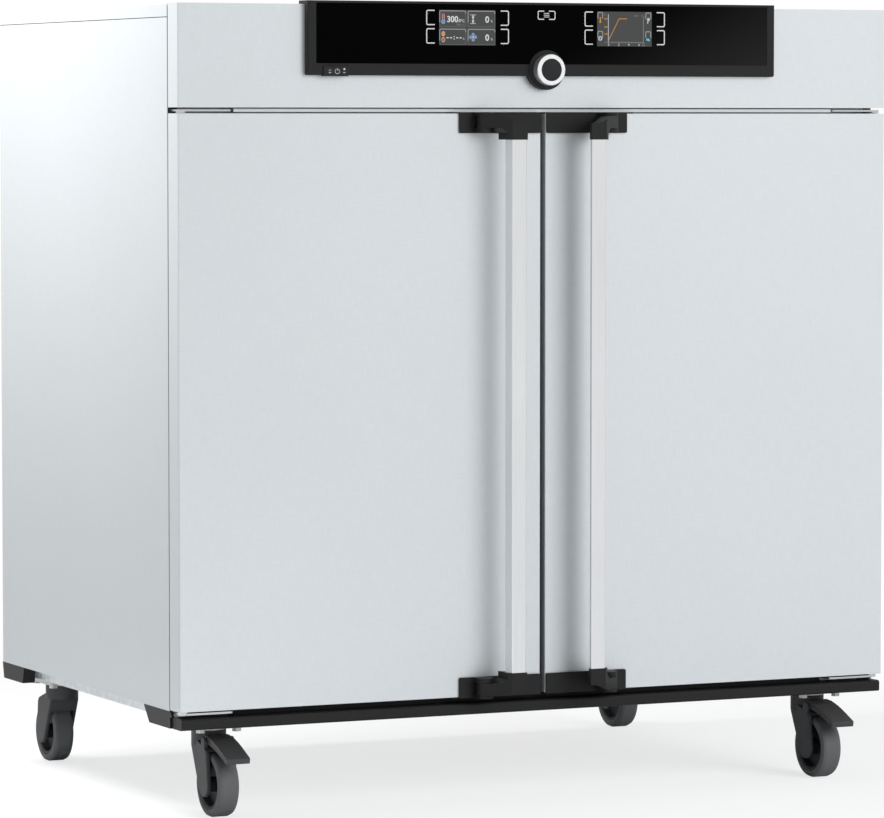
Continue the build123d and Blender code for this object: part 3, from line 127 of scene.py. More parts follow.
# The screens' pictures, from a screen's upper left corner to the right and upwards
SCREEN_SHADES = {
    "ground": (80, 81, 81), "edge": (158, 158, 158), "dim_edge": (104, 104, 104),
    "figure": (222, 224, 222), "dim_figure": (140, 140, 140), "red": (206, 74, 76),
    "blue": (82, 150, 226), "orange": (226, 150, 44), "deep_orange": (196, 104, 30),
    "pale": (196, 200, 206), "cyan": (104, 200, 222), "line_orange": (198, 134, 62),
}
LEFT_COLUMNS = ((1.0, 44.8), (49.2, 94.6))
LEFT_ROWS = ((-1.4, -25.2), (-29.4, -52.8))
LEFT_LINES = (             # points, width, shade and layer: flap ducts, then the timer's dashes
    (((52.6, -7.2), (62.6, -7.2)), 0.9, "pale", 2),
    (((52.6, -20.6), (62.6, -20.6)), 0.9, "pale", 2),
    (((12.4, -42.6), (16.0, -42.6)), 1.6, "figure", 2),
    (((18.2, -42.6), (21.8, -42.6)), 1.6, "figure", 2),
    (((28.8, -42.6), (32.4, -42.6)), 1.6, "figure", 2),
    (((34.6, -42.6), (38.2, -42.6)), 1.6, "figure", 2),
)
LEFT_DISCS = (             # middle, radius, shade, layer, and height as a share of the width
    (57.6, -10.6, 1.9, "pale", 2, 1.6),         # flap
    (57.6, -17.0, 1.9, "pale", 2, 1.6),
    (7.0, -36.6, 3.0, "pale", 2, 1.3),          # timer
    (7.0, -36.6, 2.4, "orange", 3, 1.3),
    (7.0, -45.6, 3.0, "pale", 2, 1.3),
    (7.0, -45.6, 2.4, "deep_orange", 3, 1.3),
    (25.4, -41.0, 0.9, "figure", 2, 1.0),
    (25.4, -44.6, 0.9, "figure", 2, 1.0),
    (61.9, -41.4, 2.4, "pale", 2, 1.0),         # fan
    (61.9, -41.4, 1.9, "blue", 3, 1.0),
    (57.8, -37.3, 2.4, "pale", 2, 1.0),
    (57.8, -37.3, 1.9, "blue", 3, 1.0),
    (53.7, -41.4, 2.4, "pale", 2, 1.0),
    (53.7, -41.4, 1.9, "blue", 3, 1.0),
    (57.8, -45.5, 2.4, "pale", 2, 1.0),
    (57.8, -45.5, 1.9, "blue", 3, 1.0),
    (57.8, -41.4, 1.3, "figure", 4, 1.0),
)
LEFT_FIGURES = (           # text, right end, foot, height, shade and boldness
    ("300", 32.4, -18.4, 9.4, "figure", 0.35),
    (".0", 36.8, -18.4, 5.0, "figure", 0.1),
    ("°C", 43.0, -18.4, 4.2, "figure", 0.08),
    ("300.0 °C", 43.0, -23.6, 2.8, "dim_figure", 0.0),
    ("0", 85.2, -18.8, 10.0, "figure", 0.35),
    ("%", 91.2, -18.4, 3.8, "figure", 0.0),
    ("h", 43.0, -45.6, 3.6, "figure", 0.0),
    ("0", 85.2, -46.6, 10.0, "figure", 0.35),
    ("%", 91.2, -46.2, 3.8, "figure", 0.0),
)
TAB_COLUMNS = ((1.4, 9.6), (85.4, 94.2))
TAB_TOPS = (-1.4, -30.8)
RIGHT_LINES = (            # axes, curve and the magnifier's grip
    (((19.6, -4.0), (19.6, -48.4)), 1.2, "pale", 2),
    (((81.2, -8.0), (81.2, -48.4)), 1.0, "dim_figure", 2),
    (((13.0, -47.6), (81.2, -47.6)), 0.7, "dim_figure", 2),
    (((20.6, -43.6), (38.4, -11.0), (52.2, -11.0)), 1.5, "line_orange", 4),
    (((89.6, -13.2), (88.4, -18.2)), 1.8, "pale", 2),
)
RIGHT_DISCS = (
    (5.5, -41.8, 3.6, "pale", 2, 1.0),
    (5.5, -41.8, 1.6, "ground", 3, 1.0),
    (90.0, -11.8, 2.6, "pale", 2, 1.0),
    (88.8, -43.2, 2.6, "cyan", 2, 0.75),
    (91.2, -44.2, 1.6, "cyan", 2, 1.0),
)
RIGHT_FIGURES = (
    ("°C", 16.2, -6.2, 3.2, "line_orange", 0.0),
    ("300", 18.4, -12.6, 3.0, "line_orange", 0.12),
    ("200", 18.4, -25.2, 3.0, "line_orange", 0.12),
    ("100", 18.4, -36.2, 3.0, "line_orange", 0.12),
    ("0", 21.4, -53.0, 3.6, "figure", 0.05),
    ("2", 39.2, -53.0, 3.6, "figure", 0.05),
    ("4", 56.8, -53.0, 3.6, "figure", 0.05),
    ("6", 74.8, -53.0, 3.6, "figure", 0.05),
    ("12:00", 71.4, -7.4, 2.6, "dim_figure", 0.0),
    ("24 h", 83.4, -7.4, 2.6, "dim_figure", 0.0),
)
TICKS = 25
TICK_FIRST = 19.6
TICK_STEP = 2.5
TICK_ENDS = (-47.0, -48.9)
TICK_LINE = 0.6
CLOCK_ARC = (81.2, -51.2, 2.0, 0, 1, 20)        # middle, radius, ends in turns, and steps
CLOCK_LINE = 0.7

# Symbols on the mains key, from the middle of its upper edge, with arcs as above
POWER_ARC = (2.0, -8.1, 3.7, 0.32, 1.18, 24)
POWER_STROKE = ((2.0, -7.3), (2.0, -3.3))
LAMP_ARC = (-10.2, -7.4, 1.7, 0, 0.5, 10)
SWITCH_LINE = 1.0
LAMP_LINE = 0.8
LAMP_FOOT = (-12.2, -9.2, -8.2, -10.8)          # left, top, right and lower edge
SIGNAL = (12.4, -3.4, 15.0, -6.0)
SIGNAL_FOOT = (11.6, -9.2, 15.8, -10.6)

# Dark strips in the seams between the cabinet's sheets, as painted shade of the gaps
SEAM_DARK = 0.5            # thickness behind the doors' edges
SEAM_OUT = 0.6             # from a side's outer face
SEAM_IN = 16.0
SEAM_FOOT = 1.0            # above the side's lower edge
SEAM_HEAD = 4.0            # below the cover's upper face
STEP_IN = 1.4              # the strip below the cover's skirt
STEP_ENDS = 3.0
STEP_HEIGHT = 1.1

# Strips before the front frame: half width, two depths before it, lower and upper edge
GAP_STRIP = (518.0, 36.0, 0.0, 1077.7, 1082.5)
UPSTAND = (515.0, 14.0, 5.0, 159.0, 167.6)

# Screws of the rear panel
SCREW_R = 4.0
SCREW_TOP_R = 2.8
SCREW_HEAD = 1.5
SCREW_SIDES = 20
SCREW_IN = 14.0            # from the panel's edges
SCREW_TOP_IN = 22.0
SCREW_ROWS = (200, 460, 720, 980)
SCREW_COLUMNS = (-480, -160, 160, 480)


class Value:
    """A number inside a shader, so that a formula in Python adds its own Math nodes."""

    def __init__(self, shader, socket):
        self.shader = shader
        self.socket = socket

    def math(self, operation, *values):
        return self.shader.node("Math", {"operation": operation}, values)

    def __add__(self, other):
        return self.math("ADD", self, other)

    def __sub__(self, other):
        return self.math("SUBTRACT", self, other)

    def __rsub__(self, other):
        return self.math("SUBTRACT", other, self)

    def __mul__(self, other):
        return self.math("MULTIPLY", self, other)

    def __pow__(self, other):
        return self.math("POWER", self, other)

    def __gt__(self, other):
        return self.math("GREATER_THAN", self, other)

    def __abs__(self):
        return self.math("ABSOLUTE", self)

    def sine(self):
        return self.math("SINE", self)

    __radd__ = __add__
    __rmul__ = __mul__


class Shader:
    """A node tree that is written as formulas."""

    def __init__(self, tree):
        self.tree = tree

    def node(self, kind, settings=None, values=(), out=0):
        """Adds a node: its settings first, then the values or links of its sockets."""
        made = self.tree.nodes.new("ShaderNode" + kind)
        for key, setting in (settings or {}).items():
            setattr(made, key, setting)
        pairs = values.items() if isinstance(values, dict) else enumerate(values)
        for key, value in pairs:
            self.put(made.inputs[key], value)
        return Value(self, made.outputs[out])

    def put(self, socket, value):
        if isinstance(value, Value):
            self.tree.links.new(value.socket, socket)
        else:
            socket.default_value = value

    def split(self, vector):
        whole = self.node("SeparateXYZ", values=[vector])
        return [Value(self, socket) for socket in whole.socket.node.outputs]

    def join(self, x, y, z):
        return self.node("CombineXYZ", values=[x, y, z])

    def noise(self, vector, scale=1.0, detail=2.0):
        return self.node("TexNoise", values={"Vector": vector, "Scale": scale, "Detail": detail})

    def fade(self, value, start, stop):
        """Nought at the start, one at the stop, and smooth between them."""
        return self.node("MapRange", {"interpolation_type": "SMOOTHSTEP"},
                         {"Value": value, "From Min": start, "From Max": stop})

    def mix(self, share, first, second, way="MIX"):
        """A colour between two others, or another blend of them."""
        return self.node("Mix", {"data_type": "RGBA", "blend_type": way},
                         {0: share, 6: first, 7: second}, out=2)

    def seen(self):
        """One for what the camera sees, then one for what it, a gloss or a pane sees."""
        path = self.node("LightPath").socket.node
        kinds = [Value(self, path.outputs[name])
                 for name in ("Is Camera Ray", "Is Glossy Ray", "Is Transmission Ray")]
        first = kinds[0].math("MAXIMUM", kinds[0], kinds[1])
        return kinds[0], first.math("MAXIMUM", first, kinds[2])


class Finish(Shader):
    """A material with one Principled shader."""

    def __init__(self, name, **constants):
        self.material = bpy.data.materials.new(name)
        self.material.use_nodes = True
        super().__init__(self.material.node_tree)
        self.surface = self.tree.nodes["Principled BSDF"]
        self.place = self.node("TexCoord", out="Object")
        for name, value in constants.items():
            self.feed(name, value)

    def feed(self, name, value):
        self.put(self.surface.inputs[name.replace("_", " ")], value)

    def colour(self, share, dark, light):
        """A base colour between two tones."""
        self.feed("Base Color", self.mix(share, tone(*dark), tone(*light)))

    def relief(self, height, depth, strength=1.0):
        """Raises the surface by a height between nought and one, times a depth in millimetres."""
        self.feed("Normal", self.node("Bump", values={"Strength": strength, "Height": height,
                                                      "Distance": depth * MM}))


def tone(red, green, blue):
    """A colour as a screen shows it, 0 to 255, turned into the shader's linear one."""
    parts = [part / 255 for part in (red, green, blue)]
    return (*[p / 12.92 if p <= 0.04045 else ((p + 0.055) / 1.055) ** 2.4 for p in parts], 1.0)


def shaded(colour, share):
    """A tone times a share."""
    return [part * share for part in colour]


# Finishes

def linen_steel():
    """Stainless sheet, rolled with fine threads that cross like linen, with painted shade that
    darkens its sides towards the floor.
    """
    steel = Finish("linen_rolled_stainless", Metallic=0.55)
    x, y, z = steel.split(steel.place)
    facing = steel.split(steel.node("TexCoord", out="Normal"))
    level = abs(facing[2]) > 0.5
    across = x + y * (1 - level)
    up = z * (1 - level) + y * level
    weft = steel.noise(steel.join(across * LINEN_LONG, up * LINEN_FINE, 0.0))
    warp = steel.noise(steel.join(across * LINEN_FINE, up * LINEN_LONG, LINEN_APART))
    threads = (weft + warp) * 0.5
    cloud = steel.noise(steel.place, scale=2.2, detail=3.0)
    # painted shade: the base colour of the sideways faces darkens towards the floor
    sides = abs(facing[0]) * (1 - steel.fade(z, *SIDE_PAINTED_SHADE_FADE))
    shade = steel.mix(sides, WHITE, tone(*SIDE_PAINTED_SHADE))
    plain = steel.mix(threads * 0.8 + cloud * 0.3, *[tone(*part) for part in LINEN_TONES])
    steel.feed("Base Color", steel.mix(1.0, plain, shade, way="MULTIPLY"))
    steel.feed("Roughness", 0.34 + threads * 0.1 + cloud * 0.06)
    steel.relief(threads, depth=0.06, strength=0.5)
    return steel


def ground_steel(name, dark, light, rough, along):
    """Metal ground in one direction, which the three stretch factors of its lines give."""
    steel = Finish(name, Metallic=1.0)
    stretched = steel.node("VectorMath", {"operation": "MULTIPLY"}, [steel.place, along])
    lines = steel.noise(stretched, detail=3.0)
    cloud = steel.noise(steel.place, scale=6.0)
    steel.colour(lines * 0.7 + cloud * 0.3, dark, light)
    steel.feed("Roughness", rough + lines * 0.12)
    steel.relief(lines, depth=0.03, strength=0.4)
    return steel


def spangled_zinc(name, dark, light, scale):
    """Galvanised sheet with its crystals."""
    zinc = Finish(name, Metallic=0.85)
    crystals = zinc.node("TexVoronoi", values={"Vector": zinc.place, "Scale": scale}, out="Color")
    grain = zinc.split(crystals)[0]
    cloud = zinc.noise(zinc.place, scale=8.0)
    zinc.colour(grain * 0.6 + cloud * 0.4, dark, light)
    zinc.feed("Roughness", 0.38 + grain * 0.14)
    return zinc


def moulded(name, colour, rough, grain=0.02):
    """Moulded plastic or rubber with an eroded grain of a depth in millimetres."""
    plastic = Finish(name, Specular_IOR_Level=0.2)
    speckle = plastic.noise(plastic.place, scale=PLASTIC_GRAIN)
    cloud = plastic.noise(plastic.place, scale=12.0)
    plastic.colour(speckle * 0.4 + cloud * 0.6, shaded(colour, PLASTIC_DARK),
                   shaded(colour, PLASTIC_LIGHT))
    plastic.feed("Roughness", rough + speckle * 0.08)
    plastic.relief(speckle, depth=grain, strength=0.6)
    return plastic


def smoked_glass():
    """Black pane with a painted reflection that makes it paler towards its lower right."""
    glass = Finish("smoked_pane", Specular_IOR_Level=0.02)
    x, _, z = glass.split(glass.place)
    # painted reflection: a diagonal sheen in the base colour, paler to the lower right
    painted_reflection_slant = glass.fade(x * 0.5 - (z - PANE_REFLECTION_HEIGHT), *PANE_REFLECTION_FADE)
    smear = glass.noise(glass.place, scale=9.0, detail=3.0)
    glass.colour(painted_reflection_slant, *PANE_AND_REFLECTION_TONES)
    glass.feed("Roughness", 0.06 + smear * 0.05)
    return glass


def mineral_wool():
    """Yellowish wool with fibres and lumps."""
    wool = Finish("mineral_wool", Roughness=0.95)
    fibres = wool.noise(wool.place, scale=420.0, detail=5.0)
    lumps = wool.noise(wool.place, scale=30.0, detail=3.0)
    wool.colour(fibres * 0.6 + lumps * 0.4, (140, 124, 84), (222, 208, 162))
    wool.relief(fibres + lumps, depth=1.5)
    return wool


def heated_band():
    """Heater jacket with the straw and blue tints of hot steel."""
    band = Finish("heated_band", Metallic=0.9, Roughness=0.42)
    patches = band.noise(band.place, scale=7.0, detail=3.0)
    fine = band.noise(band.place, scale=300.0)
    straw = band.mix(fine, tone(150, 128, 92), tone(176, 152, 112))
    band.feed("Base Color", band.mix(band.fade(patches, 0.4, 0.65), straw, tone(96, 104, 128)))
    return band


def turned_metal():
    """Knob ring with the fine circles of a lathe."""
    metal = Finish("turned_ring", Metallic=0.75)
    x, _, z = metal.split(metal.place)
    drop = z - KNOB_Z * MM
    radius = (x * x + drop * drop) ** 0.5
    circles = metal.noise(metal.join(radius * LATHE_LINES, 0.0, 0.0))
    metal.colour(circles, (214, 216, 217), (238, 239, 240))
    metal.feed("Roughness", 0.24 + circles * 0.1)
    return metal


def lit(name, colour):
    """A colour of a lit screen with its raster."""
    screen = Finish(name, Roughness=0.35, Emission_Strength=1.0, Specular_IOR_Level=0.02)
    x, _, z = screen.split(screen.place)
    raster = ((x * RASTER).sine() + (z * RASTER).sine()) * 0.25 + 0.5
    screen.feed("Base Color", tone(*UNLIT))
    screen.feed("Emission Color", screen.mix(raster, tone(*shaded(colour, RASTER_DARK)),
                                             tone(*colour)))
    return screen


def printed(name, colour):
    """Screen print on the pane."""
    ink = Finish(name, Roughness=0.5)
    speckle = ink.noise(ink.place, scale=900.0)
    ink.colour(speckle, shaded(colour, PRINT_DARK), colour)
    return ink


FINISHES = {
    "stainless_steel": linen_steel(),
    "galvanised_steel": spangled_zinc("spangled_sheet", (176, 181, 184), (208, 212, 214),
                                      scale=110.0),
    "chamber_steel": ground_steel("ground_chamber_steel", (168, 170, 172), (208, 210, 212),
                                  rough=0.24, along=(30, 30, 900)),
    "mineral_wool": mineral_wool(),
    "heater_steel": heated_band(),
    "hinge_steel": ground_steel("hinge_steel", (176, 178, 180), (212, 214, 216),
                                rough=0.3, along=(400, 400, 400)),
    "black_plastic": moulded("moulded_black", (27, 27, 27), rough=0.46),
    "zinc_plate": spangled_zinc("plated_zinc", (160, 162, 158), (204, 206, 202), scale=400.0),
    "black_glass": smoked_glass(),
    "screen": moulded("screen_case", (16, 16, 17), rough=0.4),
    "board_case": moulded("board_case", (62, 64, 66), rough=0.5),
    "motor_casting": ground_steel("cast_motor", (92, 95, 98), (130, 133, 136),
                                  rough=0.46, along=(600, 600, 600)),
    "probe_steel": ground_steel("drawn_probe", (176, 178, 180), (214, 216, 218),
                                rough=0.16, along=(900, 40, 900)),
    "seal_rubber": moulded("seal_rubber", (64, 66, 68), rough=0.62, grain=0.05),
    "bar_aluminium": ground_steel("brushed_bar", (206, 207, 209), (235, 236, 238),
                                  rough=0.3, along=(1500, 1500, 18)),
    "knob_metal": turned_metal(),
    "button_plastic": moulded("glossy_button", (26, 28, 29), rough=0.24, grain=0.004),
    "fan_steel": ground_steel("fan_steel", (150, 152, 155), (196, 198, 200),
                              rough=0.3, along=(200, 200, 200)),
    "shelf_steel": ground_steel("polished_shelf", (176, 178, 180), (222, 224, 226),
                                rough=0.14, along=(40, 900, 900)),
    "fork_plastic": moulded("fork_plastic", (60, 60, 61), rough=0.5, grain=0.05),
    "hub_plastic": moulded("hub_plastic", (34, 34, 35), rough=0.5, grain=0.04),
    "wheel_tyre": moulded("wheel_tyre", (88, 89, 90), rough=0.66, grain=0.05),
}


def dress_cad():
    """Each CAD node keeps its shape and gets the finish of its slot."""
    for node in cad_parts.values():
        for place in node.material_slots:
            place.material = FINISHES[place.material.name].material


def corners_of(node):
    """Lowest and highest corner of a node, in millimetres."""
    return [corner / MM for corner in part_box(node)]


def add_piece(name, shape, finishes, body="cabinet"):
    """Turns a mesh into a piece that rides on a body."""
    mesh = bpy.data.meshes.new(name)
    shape.to_mesh(mesh)
    shape.free()
    for finish in finishes:
        mesh.materials.append(finish.material)
    piece = bpy.data.objects.new(name, mesh)
    bpy.context.scene.collection.objects.link(piece)
    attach(piece, body)


# Drawings on flat faces

def arc(x, z, radius, start, stop, steps=BEND_STEPS):
    """Points on an arc, with its angles in turns."""
    turns = [start + (stop - start) * step / steps for step in range(steps + 1)]
    return [(x + radius * cos(tau * turn), z + radius * sin(tau * turn)) for turn in turns]


def bracket(open_x, back_x, top, foot, bend):
    """A square bracket with rounded corners, as a line from its upper to its lower end."""
    side = 1 if open_x > back_x else -1
    bends = arc(0, top - bend, bend, 0.25, 0.5) + arc(0, foot + bend, bend, 0.5, 0.75)
    back = [(back_x + side * (bend + x), z) for x, z in bends]
    return [(open_x, top)] + back + [(open_x, foot)]


def crown(x0, x1, top, left_foot, right_foot, bend=FIELD_ROUND):
    """A line up, to the right and down again, with rounded corners."""
    left = arc(x0 + bend, top - bend, bend, 0.5, 0.25)
    right = arc(x1 - bend, top - bend, bend, 0.25, 0.0)
    return [(x0, left_foot)] + left + right + [(x1, right_foot)]


class Drawing:
    """Coloured shapes in one plane that faces forwards, from a corner to the right and up."""

    def __init__(self, name, left, top, front):
        self.name = name
        self.left = left
        self.top = top
        self.front = front
        self.mesh = bmesh.new()
        self.finishes = []

    def shape(self, points, finish, layer=1):
        if finish not in self.finishes:
            self.finishes.append(finish)
        y = self.front - layer * MARK_STEP
        corners = [self.mesh.verts.new(((self.left + x) * MM, y * MM, (self.top + z) * MM))
                   for x, z in points]
        face = self.mesh.faces.new(corners)
        face.normal_update()
        if face.normal.y > 0:
            face.normal_flip()
        face.material_index = self.finishes.index(finish)

    def line(self, points, width, finish, layer=1):
        """A line of even width with mitred bends."""
        sides = []
        for index, (x, z) in enumerate(points):
            before = points[max(index - 1, 0)]
            after = points[min(index + 1, len(points) - 1)]
            run = Vector((x - before[0], z - before[1])), Vector((after[0] - x, after[1] - z))
            run = [part.normalized() for part in run if part.length > 0]
            middle = sum(run, Vector((0, 0))).normalized()
            reach = width / 2 / max(middle.dot(run[0]), LEAST_MITRE)
            sides.append(((x - middle.y * reach, z + middle.x * reach),
                          (x + middle.y * reach, z - middle.x * reach)))
        for first, second in zip(sides, sides[1:]):
            self.shape([first[0], first[1], second[1], second[0]], finish, layer)

    def disc(self, x, z, radius, finish, layer=1, height=1.0):
        """A round or oval spot, with its height as a share of its width."""
        points = arc(0, 0, radius, 0, 1 - 1 / DISC_CORNERS, DISC_CORNERS - 1)
        self.shape([(x + px, z + pz * height) for px, pz in points], finish, layer)

    def plate(self, x0, z0, x1, z1, finish, layer=1):
        self.shape([(x0, z0), (x1, z0), (x1, z1), (x0, z1)], finish, layer)

    def figures(self, text, x, z, height, finish, bold):
        """Plain figures whose right end is at x and whose foot is at z."""
        curve = bpy.data.curves.new("figures", "FONT")
        curve.body = text
        curve.size = height / FIGURE_SHARE
        curve.align_x = "RIGHT"
        curve.offset = bold
        curve.resolution_u = 3
        holder = bpy.data.objects.new("figures", curve)
        mesh = bpy.data.meshes.new_from_object(holder)
        for polygon in mesh.polygons:
            corners = [mesh.vertices[index].co for index in polygon.vertices]
            self.shape([(x + corner.x, z + corner.y) for corner in corners], finish, FIGURE_LAYER)
        bpy.data.objects.remove(holder)
        bpy.data.curves.remove(curve)
        bpy.data.meshes.remove(mesh)

    def place(self, slot, body="cabinet"):
        """Joins the corners that meet and turns the drawing into a piece."""
        bmesh.ops.remove_doubles(self.mesh, verts=self.mesh.verts, dist=MERGE)
        add_piece(self.name, self.mesh, self.finishes, body)


class Screen(Drawing):
    """The picture on one of the two screens."""

    def __init__(self, name, middle, front, shades):
        super().__init__(name, middle - SCREEN_WIDTH / 2, SCREEN_TOP, front)
        self.shades = shades
        self.plate(0, 0, SCREEN_WIDTH, -SCREEN_HEIGHT, shades["ground"], GROUND_LAYER)

    def fill(self, lines, discs, figures):
        for points, width, shade, layer in lines:
            self.line(points, width, self.shades[shade], layer)
        for x, z, radius, shade, layer, height in discs:
            self.disc(x, z, radius, self.shades[shade], layer, height)
        for text, x, z, height, shade, bold in figures:
            self.figures(text, x, z, height, self.shades[shade], bold)

    def tile(self, x0, z0, x1, z1):
        """Frame of one field, brighter above and at its left."""
        bend = FIELD_ROUND
        end = z0 - FIELD_END_DROP
        low = [(x0, z0 - FIELD_DIM_DROP)] + arc(x0 + bend, z1 + bend, bend, 0.5, 0.75)
        low += arc(x1 - bend, z1 + bend, bend, 0.75, 1.0) + [(x1, end)]
        high = crown(x0, x1, z0, z1 + FIELD_EDGE_RISE, end)
        self.line(low, FIELD_DIM_EDGE, self.shades["dim_edge"])
        self.line(high, FIELD_EDGE, self.shades["edge"], 2)

    def thermometer(self, x, top, height, width, tube, bulb, rim=None):
        """An upright tube with a bulb below, in shades that are given by name."""
        foot = top - height
        bulb_r = width * BULB_SHARE
        if rim:
            self.line([(x, top + RIM_TOP), (x, foot)], width + RIM_LINE, self.shades[rim], 2)
            self.disc(x, foot, bulb_r + RIM_BULB, self.shades[rim], 2)
        self.line([(x, top), (x, foot)], width, self.shades[tube], 3)
        self.disc(x, top, width / 2, self.shades[tube], 3)
        self.disc(x, foot, bulb_r, self.shades[bulb], 4)


def left_screen(shades, front):
    """Four fields: temperature, flap, timer and fan."""
    screen = Screen("left_screen_picture", -SCREEN_X, front, shades)
    for x0, x1 in LEFT_COLUMNS:
        for z0, z1 in LEFT_ROWS:
            screen.tile(x0, z0, x1, z1)
    screen.thermometer(x=7.0, top=-6.4, height=11.6, width=3.0, tube="red", bulb="blue",
                       rim="pale")
    screen.fill(LEFT_LINES, LEFT_DISCS, LEFT_FIGURES)
    screen.place("screen")


def right_screen(shades, front):
    """Graph of the temperature over time, between four side fields that are open below."""
    screen = Screen("right_screen_picture", SCREEN_X, front, shades)
    for top in TAB_TOPS:
        for x0, x1 in TAB_COLUMNS:
            foot = top - TAB_SIDE
            screen.line(crown(x0, x1, top, foot, foot), TAB_EDGE, shades["edge"])
    screen.thermometer(x=5.5, top=-9.6, height=6.4, width=1.9, tube="orange", bulb="orange")
    for tick in range(TICKS):
        x = TICK_FIRST + tick * TICK_STEP
        screen.line([(x, z) for z in TICK_ENDS], TICK_LINE, shades["dim_figure"], 3)
    screen.line(arc(*CLOCK_ARC), CLOCK_LINE, shades["dim_figure"], 2)
    screen.fill(RIGHT_LINES, RIGHT_DISCS, RIGHT_FIGURES)
    screen.place("screen")


def key_marks(front):
    """Brackets that mark the touch keys beside the screens and over the knob."""
    ink = printed("key_print", (188, 189, 190))
    marks = Drawing("key_marks", 0, 0, front)
    for middle in (-SCREEN_X, SCREEN_X):
        for side in (-1, 1):
            edge = middle + side * SCREEN_WIDTH / 2
            near, far = [edge + side * reach for reach in KEY_SIDES[side]]
            for row in range(2):
                top = SCREEN_TOP - KEY_DROP - row * KEY_STEP
                marks.line(bracket(near, far, top, top - KEY_HEIGHT, KEY_ROUND), KEY_LINE, ink)
    for side in (-1, 1):
        near, far = [side * reach for reach in MENU_SIDES]
        marks.line(bracket(near, far, MENU_TOP, MENU_FOOT, MENU_ROUND), MENU_LINE, ink)
    for z in MENU_BARS:
        marks.line([(-MENU_BAR_HALF, z), (MENU_BAR_HALF, z)], MENU_BAR_LINE, ink)
    marks.place("screen")


def switch_marks():
    """Symbols on the mains key: lamp, power and signal."""
    low, high = corners_of("mains_switch")
    ink = printed("switch_print", (150, 152, 154))
    lamp = lit("signal_lamp", (224, 226, 226))
    marks = Drawing("switch_marks", (low.x + high.x) / 2, high.z, low.y)
    marks.line(arc(*POWER_ARC), SWITCH_LINE, ink)
    marks.line(POWER_STROKE, SWITCH_LINE, ink)
    marks.line(arc(*LAMP_ARC), LAMP_LINE, ink)
    marks.plate(*LAMP_FOOT, ink)
    marks.plate(*SIGNAL, lamp)
    marks.plate(*SIGNAL_FOOT, ink)
    marks.place("button_plastic", "switch")


# Strips between the sheets, and screws

def add_bar(shape, x0, x1, y0, y1, z0, z1):
    """Adds a box to a mesh."""
    made = bmesh.ops.create_cube(shape, size=1.0)
    for vertex in made["verts"]:
        part = vertex.co + Vector((0.5, 0.5, 0.5))
        vertex.co = Vector((x0 + part.x * (x1 - x0), y0 + part.y * (y1 - y0),
                            z0 + part.z * (z1 - z0))) * MM


def dark_seams():
    """Dark strips as painted shade in the joints between the cabinet's sheets and behind the doors'
    edges.
    """
    low, high = corners_of("left_side_panel")
    cover_low, cover_high = corners_of("top_cover")
    shape = bmesh.new()
    for side in (-1, 1):
        outer, inner, step = [side * (abs(low.x) - depth) for depth in (SEAM_OUT, SEAM_IN, STEP_IN)]
        add_bar(shape, *sorted((outer, inner)), low.y - SEAM_DARK, low.y, low.z + SEAM_FOOT,
                cover_high.z - SEAM_HEAD)
        add_bar(shape, *sorted((outer, step)), low.y + STEP_ENDS, high.y - STEP_ENDS,
                cover_low.z - STEP_HEIGHT, cover_low.z)
    # painted shade: dark strips behind the doors' edges and under the cover's skirt, in the seal
    # rubber finish
    add_piece("seam_shade_strips", shape, [FINISHES["seal_rubber"]])


def front_strip(name, strip, slot):
    """A strip that stands before the front frame."""
    half, front, back, low, high = strip
    face = corners_of("front_frame")[0].y
    shape = bmesh.new()
    add_bar(shape, -half, half, face - front, face - back, low, high)
    add_piece(name, shape, [FINISHES[slot]])


def rear_screws():
    """Pan heads round the edge of the rear panel."""
    low, high = corners_of("rear_panel")
    places = [(x, z) for x in (low.x + SCREW_IN, high.x - SCREW_IN) for z in SCREW_ROWS]
    places += [(x, z) for x in SCREW_COLUMNS for z in (low.z + SCREW_IN, high.z - SCREW_TOP_IN)]
    shape = bmesh.new()
    for x, z in places:
        made = bmesh.ops.create_cone(shape, cap_ends=True, segments=SCREW_SIDES,
                                     radius1=SCREW_R * MM, radius2=SCREW_TOP_R * MM,
                                     depth=SCREW_HEAD * MM)
        for vertex in made["verts"]:
            flat = vertex.co.copy()
            vertex.co = Vector((x * MM + flat.x, (high.y + SCREW_HEAD / 2) * MM + flat.z,
                                z * MM + flat.y))
    bmesh.ops.recalc_face_normals(shape, faces=shape.faces)
    add_piece("rear_screws", shape, [FINISHES["zinc_plate"]])


# Studio

def make_camera():
    camera = bpy.data.cameras.new("camera")
    camera.lens = CAMERA_LENS
    camera.sensor_width = SENSOR_WIDTH
    camera.sensor_fit = "HORIZONTAL"
    camera.clip_end = CAMERA_FAR
    holder = bpy.data.objects.new("camera", camera)
    holder.location = CAMERA_PLACE
    holder.rotation_euler = (radians(90) - CAMERA_DOWN, 0, -CAMERA_YAW)
    bpy.context.scene.collection.objects.link(holder)
    bpy.context.scene.camera = holder


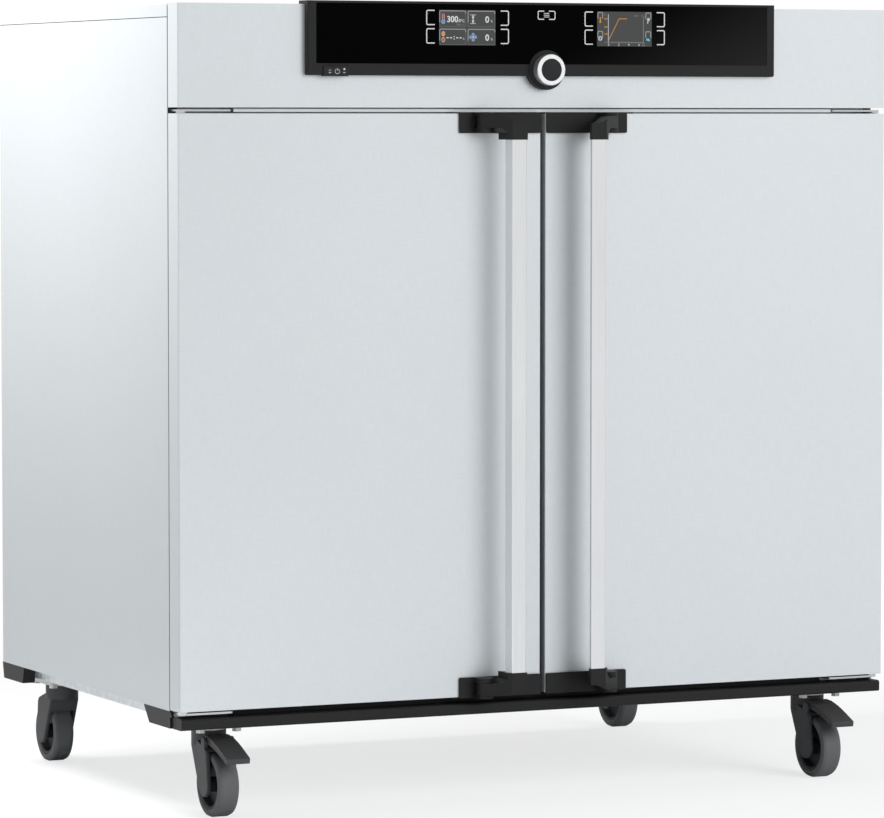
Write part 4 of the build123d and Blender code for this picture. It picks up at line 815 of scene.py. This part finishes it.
def make_world():
    """White where it is seen, and a plain even light on the oven."""
    world = bpy.data.worlds.new("studio")
    world.use_nodes = True
    bpy.context.scene.world = world
    shader = Shader(world.node_tree)
    light = shader.node("Background", values=[tone(*WORLD_TONE), WORLD_LIGHT])
    white = shader.node("Background", values=[WHITE, 1.0])
    both = shader.node("MixShader", values=[shader.seen()[1], light, white])
    shader.put(world.node_tree.nodes["World Output"].inputs["Surface"], both)


def make_floor():
    """Round pale floor that keeps the oven's shadow and turns white further out."""
    mesh = bpy.data.meshes.new("studio_floor")
    shape = bmesh.new()
    bmesh.ops.create_circle(shape, cap_ends=True, radius=FLOOR_RADIUS, segments=FLOOR_SIDES)
    shape.to_mesh(mesh)
    shape.free()
    floor = bpy.data.objects.new("studio_floor", mesh)
    bpy.context.scene.collection.objects.link(floor)
    paint = Finish("floor_paint", Roughness=0.9, Specular_IOR_Level=0.0)
    paint.feed("Base Color", tone(*FLOOR_TONE))
    x, y, _ = paint.split(paint.place)
    away = paint.fade((x * x + y * y) ** 0.5, *FLOOR_FADE)
    near = Value(paint, paint.surface.outputs[0])
    white = paint.node("Emission", values=[WHITE, 1.0])
    by_camera, by_any = paint.seen()
    share = away * by_any + (1 - away) * by_camera * FLOOR_WHITE
    both = paint.node("MixShader", values=[share, near, white])
    paint.put(paint.tree.nodes["Material Output"].inputs["Surface"], both)
    mesh.materials.append(paint.material)


def softbox(name, place, target, size, power):
    """Square area lamp that is turned towards a point and that no mirror shows."""
    lamp = bpy.data.lights.new(name, "AREA")
    lamp.size = size
    lamp.energy = power
    holder = bpy.data.objects.new(name, lamp)
    holder.location = place
    holder.rotation_mode = "QUATERNION"
    holder.rotation_quaternion = (Vector(target) - Vector(place)).to_track_quat("-Z", "Y")
    holder.visible_glossy = False
    holder.visible_camera = False
    bpy.context.scene.collection.objects.link(holder)


make_camera()
make_world()
make_floor()
for name, lamp in LAMPS.items():
    softbox(name, *lamp)

dress_cad()
shades = {name: lit("lit_" + name, shade) for name, shade in SCREEN_SHADES.items()}
pane = corners_of("cockpit_glass")[0].y
left_screen(shades, pane)
right_screen(shades, pane)
key_marks(pane)
switch_marks()
dark_seams()
front_strip("gap_strip", GAP_STRIP, "stainless_steel")
front_strip("base_upstand", UPSTAND, "black_plastic")
rear_screws()

bpy.context.scene.view_settings.view_transform = "Standard"
